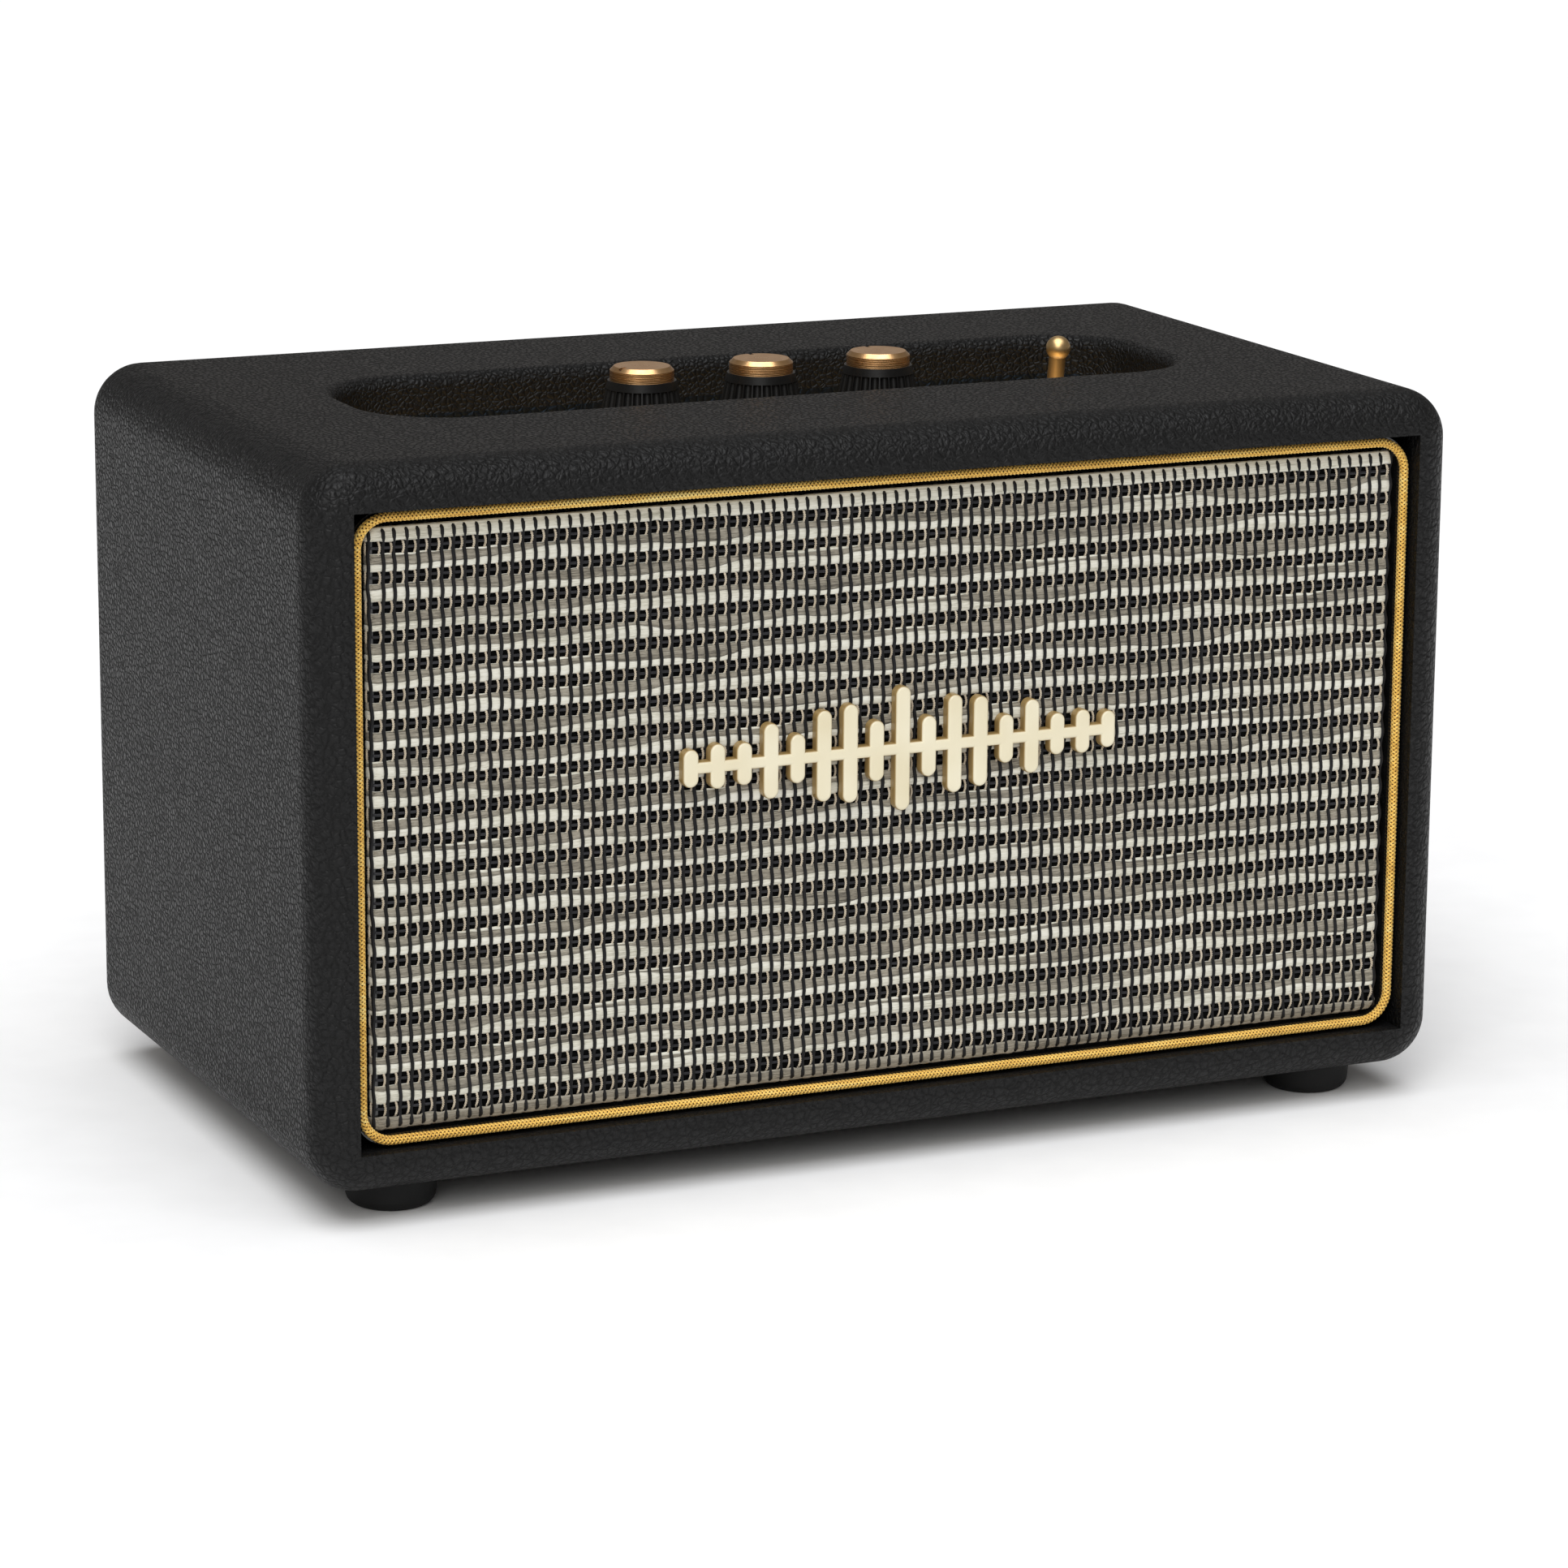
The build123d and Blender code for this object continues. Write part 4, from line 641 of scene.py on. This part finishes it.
# %% [markdown]
# ### The ribbons
# A band's two ribbons share one edge, and that edge wanders along the cloth: where the grey widens,
# the white narrows. Here and there a thin white ribbon shows over the grey as well. Each ribbon is
# pinched towards the board where a black cord crosses it. Between two cords it swells, and its edges
# sit a little higher or lower from one opening to the next. The top row is white only, and the last
# is nearly all grey.

# %% Ribbons across the cloth
PINCH_WIDTH = 0.16
PINCH_DEPTH = 0.13 * MM
RIBBON_THICK = 0.2 * MM
WHITE_LEAST, GREY_LEAST = 0.4 * MM, 0.35 * MM
OPENINGS = 120
reach_s = half_s - EDGE_RADIUS + FOLD_BACK
reach_t = half_t - EDGE_RADIUS + FOLD_BACK
ribbon_s = np.linspace(-reach_s, reach_s, WARP_COUNT * 4 + 1)
past_cord = (ribbon_s / WARP_PITCH + 0.5) % 1
from_cord = (past_cord + 0.5) % 1 - 0.5
pinch = np.exp(-((from_cord / PINCH_WIDTH) ** 2))
opening = np.floor(ribbon_s / WARP_PITCH + 0.5).astype(int) + OPENINGS // 2


def ribbon_edges():
    """The (band, ring) heights of the ribbons' edges: white's foot and top, grey's top, the top.

    Each edge is the band's middle plus a slow wave and, between two cords, a draw for each opening.
    """
    draws = np.random.default_rng(31).normal(0, 0.09 * MM, (3, BAND_COUNT, OPENINGS))
    jitter = draws[..., opening] * (1 - pinch)
    rows = range(BAND_COUNT)
    share = np.stack([wave(ribbon_s / (30 * MM), 100 + k, 6, 2.2) for k in rows])
    extra = np.stack([wave(ribbon_s / (34 * MM), 200 + k, 5, 2.0) for k in rows])
    sway = np.stack([wave(ribbon_s / (60 * MM), 300 + k, 4) for k in rows]) * 0.16 * MM
    low = bands[:, None] - BAND_HALF + sway + jitter[0]
    top = bands[:, None] + BAND_HALF + sway + jitter[1]
    edge = bands[:, None] + (0.05 - 1.5 * share) * MM + jitter[2]
    edge[0], edge[-1] = bands[0] + 1.3 * MM, bands[-1] - 1.4 * MM
    edge = np.clip(edge, low + WHITE_LEAST, top - GREY_LEAST)
    white = np.clip(extra * 2.0 - 0.5, 0.1, 1) * 0.75 * MM
    return low, edge, np.maximum(top - white, edge + 0.1 * MM), top


def ribbon(name, low, high, lift):
    """One ribbon of each band: an oval tube between the edges low and high."""
    s = np.broadcast_to(ribbon_s, low.shape)
    h = np.broadcast_to(lift - PINCH_DEPTH * pinch, low.shape)
    return thread(name, s, (low + high) / 2, h, (high - low) / 2, RIBBON_THICK, 8)


low, edge, grey_top, top = ribbon_edges()
under_white = grey_top + 0.3 * (top - grey_top)
grey_ribbons = ribbon("grey_ribbons", edge[1:], under_white[1:], 0.42 * MM)
white_ribbons = ribbon("white_ribbons", low, edge, 0.46 * MM)
white_edges = ribbon("white_edge_ribbons", grey_top[1:-1], top[1:-1], 0.40 * MM)

# %% [markdown]
# ### The black cords
# The upright cords pass in front of the bands and sink between them, so their height is a cosine of
# the place within the band's pitch. They aren't quite straight: each leans and bows by a tenth of a
# millimetre or two. The crossing cords lie in the middle of the gaps.

# %% Warp and weft cords
WARP_HALF, WARP_THICK = 0.41 * MM, 0.28 * MM
WEFT_HALF, WEFT_THICK = 0.31 * MM, 0.24 * MM


def band_phase(t):
    """The place of a height t in the weave: 0 in the middle of a band, pi in the middle of a gap."""
    count = np.interp(-t, -bands, order)
    outside = np.where(t < bands[-1], (bands[-1] - t) / (bands[-2] - bands[-1]), 0)
    return 2 * np.pi * (count + outside)


t = np.linspace(-reach_t, reach_t, BAND_COUNT * 7)[None, :].repeat(WARP_COUNT, 0)
lean = np.stack([wave(t[0] / (9 * MM), 500 + j, 5) for j in range(WARP_COUNT)])
warp_path = warps[:, None] + 0.20 * MM * lean + 0.10 * MM * np.sin(band_phase(t) + 0.6)
warp_height = (0.62 + 0.20 * np.cos(band_phase(t))) * MM
warp_cords = thread("warp_cords", warp_path, t, warp_height, WARP_HALF, WARP_THICK, 6)

s = np.linspace(-reach_s, reach_s, WARP_COUNT * 2 + 1)[None, :].repeat(len(gaps), 0)
dip = np.cos(2 * np.pi * (s / WARP_PITCH + 0.5))
weft_lean = np.stack([wave(s[0] / (25 * MM), 700 + k, 5) for k in range(len(gaps))])
weft_path = gaps[:, None] + 0.12 * MM * weft_lean
weft_height = (0.34 - 0.08 * dip) * MM
weft_cords = thread("weft_cords", s, weft_path, weft_height, WEFT_HALF, WEFT_THICK, 6)

# %% [markdown]
# ### The twisted cream threads
# To the left of each black cord stands a cream thread of two plies twisted together. It shows only in
# the gaps, where it bows to the right in front of the crossing cord, and it goes behind the bands. A
# ply is a helix about the thread's own path: its offset is (cos, sin) of an angle that grows with
# height, and the second ply is half a turn on. Rings are spent where the thread shows, and only a few
# where it hides.

# %% Cream threads
PLY_PITCH = 0.95 * MM
PLY_HALF, PLY_THICK = 0.17 * MM, 0.16 * MM
PLY_ACROSS, PLY_OUT = 0.15 * MM, 0.12 * MM
BESIDE_CORD = 0.86 * MM
within = np.concatenate([np.linspace(-0.27, 0.27, 15), [0.42]])
centres = np.concatenate([[2 * bands[0] - gaps[0]], gaps, [2 * bands[-1] - gaps[-1]]])
pitch = BAND_PITCH + 2 * BAND_GROWTH * np.arange(len(centres))
levels = np.sort((centres[:, None] + within * pitch[:, None]).ravel())
levels = levels[np.abs(levels) < reach_t]


def cream_threads(name, columns, first_seed):
    """Both plies of the threads beside the warps in columns."""
    t = levels[None, :].repeat(len(columns), 0)
    gap = -np.cos(band_phase(t))
    bow = 0.26 * MM * np.maximum(gap, 0)
    lean = np.stack([wave(levels / (7 * MM), first_seed + j, 5) for j in range(len(columns))])
    path_s = columns[:, None] - BESIDE_CORD + bow + 0.12 * MM * lean
    path_h = np.where(gap > 0, 0.16 + 0.46 * np.sqrt(np.maximum(gap, 0)), 0.16 + 0.06 * gap) * MM
    turn = 2 * np.pi * t / PLY_PITCH + np.arange(len(columns))[:, None]
    plies = [
        (path_s + PLY_ACROSS * np.cos(turn + half), t, path_h + PLY_OUT * np.sin(turn + half))
        for half in (0, np.pi)
    ]
    s, t, h = (np.concatenate(parts) for parts in zip(*plies))
    return thread(name, s, t, h, PLY_HALF, PLY_THICK, 4)


cream_pieces = [
    cream_threads(f"cream_threads_{k + 1}", columns, 900 + 100 * k)
    for k, columns in enumerate(np.array_split(warps, 4))
]

# %% [markdown]
# ### The scrim
# Behind the threads lies thin black scrim, stretched over the same board and turned into the same
# groove. It is the sheet of cloth.

# %% Scrim
SCRIM_HEIGHT = 0.06 * MM
columns, rows = 121, 65
grid_s, grid_t = np.meshgrid(
    np.linspace(-reach_s, reach_s, columns), np.linspace(-reach_t, reach_t, rows)
)
scrim_points = laid(grid_s, grid_t, np.full(grid_s.shape, SCRIM_HEIGHT)).reshape(-1, 3)
index = np.arange(rows * columns).reshape(rows, columns)
corners = [index[:-1, :-1], index[:-1, 1:], index[1:, 1:], index[1:, :-1]]
scrim = mesh_piece("cloth_scrim", scrim_points, np.stack(corners, -1).reshape(-1, 4))

# %% [markdown]
# ### Yarn
# The ribbons are bundles of straight fibres, so their relief is noise drawn out along the ribbon. The
# cords and plies are spun of the same kind of fibre, and one function finishes them all.

# %% Yarn finishes


def fibre_finish(name, colours, along, fibre, relief, roughness=0.75, sheen=0.2, metallic=0.0):
    """Yarn: fibres drawn out along one axis, with colour that drifts from fibre to fibre.

    The colours are three (r, g, b) or greys, from the hollow between fibres to their tops. The
    hollows are darker as painted shade, and a slower drift varies the tone at random.
    """
    colours = [(c,) * 3 if isinstance(c, float) else c for c in colours]
    gloss = {"Sheen_Weight": sheen, "Sheen_Roughness": 0.5, "Specular_IOR_Level": 0.25}
    made = Finish(name, colours[1], roughness, metallic, **gloss)
    scale = [fibre, fibre, fibre]
    scale[along] = fibre * 0.06
    fibres = made.noise(1.0, 4.0, 0.65, made.stretched(tuple(scale)))
    drift = made.noise(1.0, 3.0, 0.5, made.stretched(tuple(0.12 * s for s in scale)))
    both = made.maths("ADD", made.maths("MULTIPLY", fibres, 0.6), made.maths("MULTIPLY", drift, 0.4))
    # Painted shade in part: the colour follows the fibres' relief and is darker in the hollows, mixed
    # with a random drift.
    made.colour(made.ramp(both, (0.34, colours[0]), (0.5, colours[1]), (0.66, colours[2])))
    made.relief((fibres, relief))
    return made.material


grey_yarn = fibre_finish(
    "grey ribbon", ((0.05, 0.043, 0.032), (0.29, 0.262, 0.205), (0.48, 0.44, 0.36)), 0, 4600.0, 0.22
)
white_yarn = fibre_finish(
    "off-white ribbon", ((0.42, 0.40, 0.31), (0.70, 0.68, 0.58), (0.80, 0.79, 0.71)), 0, 3800.0, 0.09
)
cream_yarn = fibre_finish(
    "cream ply", ((0.34, 0.28, 0.19), (0.60, 0.51, 0.38), (0.76, 0.68, 0.54)), 2, 4200.0, 0.05
)
black_cord = fibre_finish(
    "black cord", (0.002, (0.004, 0.004, 0.005), (0.009, 0.009, 0.011)), 2, 3000.0, 0.04, 0.55, 0.03
)
# Painted highlight: the crossing cords are coloured a lighter grey than the upright black cords,
# standing in for their faint sheen.
weft_cord = fibre_finish(
    "black weft", ((0.006, 0.006, 0.007), (0.016, 0.016, 0.019), (0.04, 0.04, 0.046)), 0, 3000.0,
    0.05, 0.5, 0.1,
)
scrim_cloth = grained(
    "black scrim", 0.001, 0.003, 1800.0, 0.05, (0.9, 1.0), Specular_IOR_Level=0.1
)

# %% Dress the cloth
for piece, yarn in (
    (grey_ribbons, grey_yarn), (white_ribbons, white_yarn), (white_edges, white_yarn),
    (warp_cords, black_cord), (weft_cords, weft_cord),
    *((piece, cream_yarn) for piece in cream_pieces), (scrim, scrim_cloth),
):
    finish_piece(piece, "grille", yarn)
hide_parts("grille_cloth")

# %% [markdown]
# ## The piping
# The cord round the cloth is braided: strands wind both ways round a core and pass over and under
# each other, which leaves a row of small chevrons along it. It follows a rectangle with rounded
# corners, and that path comes first.

# %% Along a rounded rectangle
piping_low, piping_high = (np.array(c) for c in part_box("grille_piping"))
CORD_RADIUS = (piping_high[1] - piping_low[1]) / 2
CORNER = 6.5 * MM
RING_STEP = 0.15 * MM


def rounded_path(step):
    """Points and tangents of the piping's centre line at equal steps, and its length.

    The heading turns a quarter round on each of the four corner arcs and holds on each straight. The
    points are the running sum of the steps, moved until their middle is the piping's.
    """
    half = (piping_high - piping_low)[[0, 2]] / 2 - CORD_RADIUS
    straight = 2 * (half - CORNER)
    arc = np.pi / 2 * CORNER
    lengths = np.array([straight[0], arc, straight[1], arc] * 2)
    total = lengths.sum()
    at = np.linspace(0, total, int(total / step), endpoint=False)
    ends = np.cumsum(lengths)
    leg = np.searchsorted(ends, at, side="right")
    into = at - (ends - lengths)[leg]
    heading = np.pi / 2 * (leg // 2) + np.where(leg % 2 == 1, into / CORNER, 0)
    tangent = np.stack([np.cos(heading), np.zeros(len(at)), np.sin(heading)], -1)
    moved = np.cumsum(tangent, 0) * (total / len(at))
    moved -= (moved.max(0) + moved.min(0)) / 2
    return moved + (piping_low + piping_high) / 2, tangent, total


centre, tangent, length = rounded_path(RING_STEP)

# %% [markdown]
# ### The braid
# Each strand is a helix about the path. Where two strands cross, one is lifted and the other pressed
# in, and a brown core shows between them. The strands make a whole number of turns, so that each
# closes on itself.

# %% Strands and core
CARRIERS = 4
CHEVRON = 0.87 * MM
STRAND_RADIUS = 0.80 * MM
STRAND_LIFT = 0.12 * MM
STRAND_HALF, STRAND_THICK = 0.23 * MM, 0.17 * MM
CORE_RADIUS, CORE_FORWARD = 0.60 * MM, 0.01 * MM
turns = round(length / (CHEVRON * CARRIERS))
phase = 2 * np.pi * turns * np.arange(len(centre)) / len(centre)
front_way = np.array([0.0, -1.0, 0.0])
side_way = np.cross(tangent, front_way)


def wound(name, angle, radius, wide, thick, sides):
    """Tubes wound on the cord's path: (strand, ring) angles round it and radii from it."""
    out = np.cos(angle)[..., None] * front_way + np.sin(angle)[..., None] * side_way[None]
    path = centre[None] + radius[..., None] * out
    along = np.roll(path, -1, 1) - np.roll(path, 1, 1)
    across = np.cross(along, out)
    across /= np.linalg.norm(across, axis=-1, keepdims=True)
    return tubes(name, path, across, out, wide, thick, sides, closed=True)


def strands(name, direction, first):
    """Every other one of the strands that wind one way round the cord.

    A strand lies at its radius from the path, plus or minus a lift: a cosine with one period to every
    two of the strands it crosses. The strands that wind the other way take the opposite lift.
    """
    start = 2 * np.pi * np.arange(first, CARRIERS, 2) / CARRIERS
    angle = direction * phase[None, :] + start[:, None]
    lift = STRAND_LIFT * direction * np.cos(CARRIERS * phase)
    radius = np.broadcast_to(STRAND_RADIUS + lift, angle.shape)
    return wound(name, angle, radius, STRAND_HALF, STRAND_THICK, 6)


braid = [
    strands(f"piping_strands_{side}_{first + 1}", direction, first)
    for side, direction in (("right", 1), ("left", -1))
    for first in (0, 1)
]
still = np.zeros((1, len(centre)))
core = wound("piping_core", still, still + CORE_FORWARD, CORE_RADIUS, CORE_RADIUS, 10)
gold_yarn = fibre_finish(
    "gold braid", ((0.55, 0.29, 0.05), (0.92, 0.58, 0.12), (1.00, 0.80, 0.30)), 0, 1500.0,
    0.03, 0.42, 0.2, metallic=0.2,
)
core_yarn = fibre_finish(
    "brown core", ((0.012, 0.006, 0.002), (0.03, 0.014, 0.004), (0.05, 0.024, 0.007)), 0, 1500.0,
    0.03, 0.7, 0.1,
)
for piece in braid:
    finish_piece(piece, "grille", gold_yarn)
finish_piece(core, "grille", core_yarn)
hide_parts("grille_piping")

# %% [markdown]
# ## Marks round the knobs
# The brass plate has a scale round each knob: eleven short lines, and the numbers 0, 5 and 10. They
# lie at the bottom of the recess, so they show only from above. The lines are thin boxes round a
# circle, all worked out at once. The numbers are Blender's own text, made into a mesh before it is
# placed.

# %% Dials
LINE_COUNT = 11
LINE_INNER, LINE_OUTER, LINE_HALF = 10.7 * MM, 12.1 * MM, 0.16 * MM
LINE_SUNK, LINE_RAISED = 0.05 * MM, 0.04 * MM
NUMBER_RADIUS, NUMBER_SIZE = 13.4 * MM, 2.0 * MM
marks = []
ink = grained("black ink", (0.010, 0.009, 0.008), (0.020, 0.018, 0.016), 2500.0, 0.004, (0.5, 0.7))


def dial_lines(name, centre_x, centre_y):
    """Raised lines of ink from 7 to 5 o'clock: boxes turned about the knob's axis.

    A box's corner is its distance from the axis times the line's direction, plus or minus half the
    line's width times the direction across it.
    """
    bearing = np.radians(np.linspace(150, -150, LINE_COUNT))
    radial = np.stack([-np.sin(bearing), np.cos(bearing)], -1)
    sideways = np.stack([radial[:, 1], -radial[:, 0]], -1) * LINE_HALF
    inner, outer = radial * LINE_INNER, radial * LINE_OUTER
    flat = np.stack([inner - sideways, inner + sideways, outer + sideways, outer - sideways], 1)
    flat += np.array([centre_x, centre_y])
    low = np.concatenate([flat, np.full((LINE_COUNT, 4, 1), plate_top - LINE_SUNK)], -1)
    high = np.concatenate([flat, np.full((LINE_COUNT, 4, 1), plate_top + LINE_RAISED)], -1)
    points = np.concatenate([low, high], 1).reshape(-1, 3)
    box = np.array([[3, 2, 1, 0], [4, 5, 6, 7], [0, 1, 5, 4], [1, 2, 6, 5], [2, 3, 7, 6], [3, 0, 4, 7]])
    quads = (np.arange(LINE_COUNT)[:, None, None] * 8 + box).reshape(-1, 4)
    if volume(points, quads) < 0:
        quads = quads[:, ::-1]
    return mesh_piece(name, points, quads, smooth=False)


def number(name, text, x, y):
    """A number as a thin mesh lying on the plate, read from the front."""
    curve = bpy.data.curves.new(name, "FONT")
    curve.body, curve.size, curve.extrude = text, NUMBER_SIZE, LINE_RAISED
    curve.align_x, curve.align_y = "CENTER", "CENTER"
    holder = bpy.data.objects.new(name + "_text", curve)
    bpy.context.scene.collection.objects.link(holder)
    mesh = bpy.data.meshes.new_from_object(holder)
    bpy.data.objects.remove(holder)
    mesh.transform(Matrix.Translation((x, y, plate_top)))
    piece = bpy.data.objects.new(name, mesh)
    mesh.materials.clear()
    bpy.context.scene.collection.objects.link(piece)
    return piece


for knob in KNOBS:
    x, y, _ = knob_axis(knob)
    marks.append(dial_lines(f"{knob}_scale", x, y))
    for value, bearing in ((0, 150), (5, 0), (10, -150)):
        across, up = -np.sin(np.radians(bearing)), np.cos(np.radians(bearing))
        place = x + across * NUMBER_RADIUS, y + up * NUMBER_RADIUS
        marks.append(number(f"{knob}_{value}", str(value), *place))
for piece in marks:
    finish_piece(piece, "cabinet", ink)
print(len(marks), "marks on the plate")

# %% [markdown]
# ## Light, floor and camera
# The speaker stands on a plain white floor. The main light is a wide soft one from above, which gives
# the knobs their bright chamfers, a weaker one comes from the front left, and a faint one from behind
# gives the top its sheen. All are suns, so the floor is as white far away as it is near. The room
# itself is dark, so that the vinyl stays black. The camera is a long lens from the front left, a
# little above the top.

# %% Stage
FLOOR_HALF = 12.0
ROOM_COLOUR, ROOM_STRENGTH = (1.0, 0.96, 0.92, 1), 0.17


def stage():
    """A flat floor, far larger than what the camera sees."""
    corners = np.array([[-1, -1, 0], [1, -1, 0], [1, 1, 0], [-1, 1, 0]])
    floor = mesh_piece("studio_floor", corners * FLOOR_HALF, np.array([[0, 1, 2, 3]]))
    paper = grained("white paper", 0.93, 0.96, 40.0, 0.01, (0.9, 1.0), Specular_IOR_Level=0.1)
    floor.data.materials.append(paper)


def sun(name, azimuth, elevation, strength, spread, colour):
    """A distant lamp: azimuth from the front, positive to the left, and elevation, in degrees."""
    data = bpy.data.lights.new(name, "SUN")
    data.energy, data.color, data.angle = strength, colour, np.radians(spread)
    light = bpy.data.objects.new(name, data)
    bpy.context.scene.collection.objects.link(light)
    turn, rise = np.radians(azimuth), np.radians(elevation)
    away = np.array([-np.sin(turn) * np.cos(rise), -np.cos(turn) * np.cos(rise), np.sin(rise)])
    right = np.cross([0, 0, 1.0], away)
    right /= np.linalg.norm(right)
    light.matrix_world = Matrix(np.stack([right, np.cross(away, right), away], 1).tolist()).to_4x4()


stage()
sun("overhead_light", 28, 76, 2.5, 60, (0.97, 0.98, 1.0))
sun("front_light", 30, 35, 1.15, 40, (1.0, 0.99, 0.97))
sun("back_light", 204, 22, 0.05, 36, (1.0, 0.93, 0.87))
world = bpy.data.worlds.new("dark room")
world.use_nodes = True
background = world.node_tree.nodes["Background"]
background.inputs["Color"].default_value = ROOM_COLOUR
background.inputs["Strength"].default_value = ROOM_STRENGTH
bpy.context.scene.world = world
bpy.context.scene.view_settings.view_transform = "Standard"

# %% [markdown]
# ### The camera
# A camera's place and three turns put the speaker where it belongs in the frame. Yaw turns it about
# the upright, pitch tips it down, and roll turns it about its own line of sight. The axes are worked
# out in that order and go into the matrix as columns.

# %% Camera
LENS, SENSOR = 126.78, 36.0
FAR = 50.0
YAW, PITCH, ROLL = np.radians([24.3685, 13.4847, 0.3999])
CAMERA_PLACE = np.array([-0.49212, -1.09876, 0.35605])


def camera_turn(yaw, pitch, roll):
    """The camera's axes as columns: right, up and backwards, from its yaw, pitch and roll."""
    ahead = np.array([np.sin(yaw) * np.cos(pitch), np.cos(yaw) * np.cos(pitch), -np.sin(pitch)])
    right = np.array([np.cos(yaw), -np.sin(yaw), 0.0])
    up = np.cross(right, ahead)
    right, up = right * np.cos(roll) + up * np.sin(roll), up * np.cos(roll) - right * np.sin(roll)
    return Matrix(np.stack([right, up, -ahead], 1).tolist()).to_4x4()


data = bpy.data.cameras.new("catalogue lens")
data.lens, data.sensor_width, data.clip_end = LENS, SENSOR, FAR
camera = bpy.data.objects.new("catalogue camera", data)
bpy.context.scene.collection.objects.link(camera)
camera.matrix_world = Matrix.Translation(CAMERA_PLACE.tolist()) @ camera_turn(YAW, PITCH, ROLL)
bpy.context.scene.camera = camera
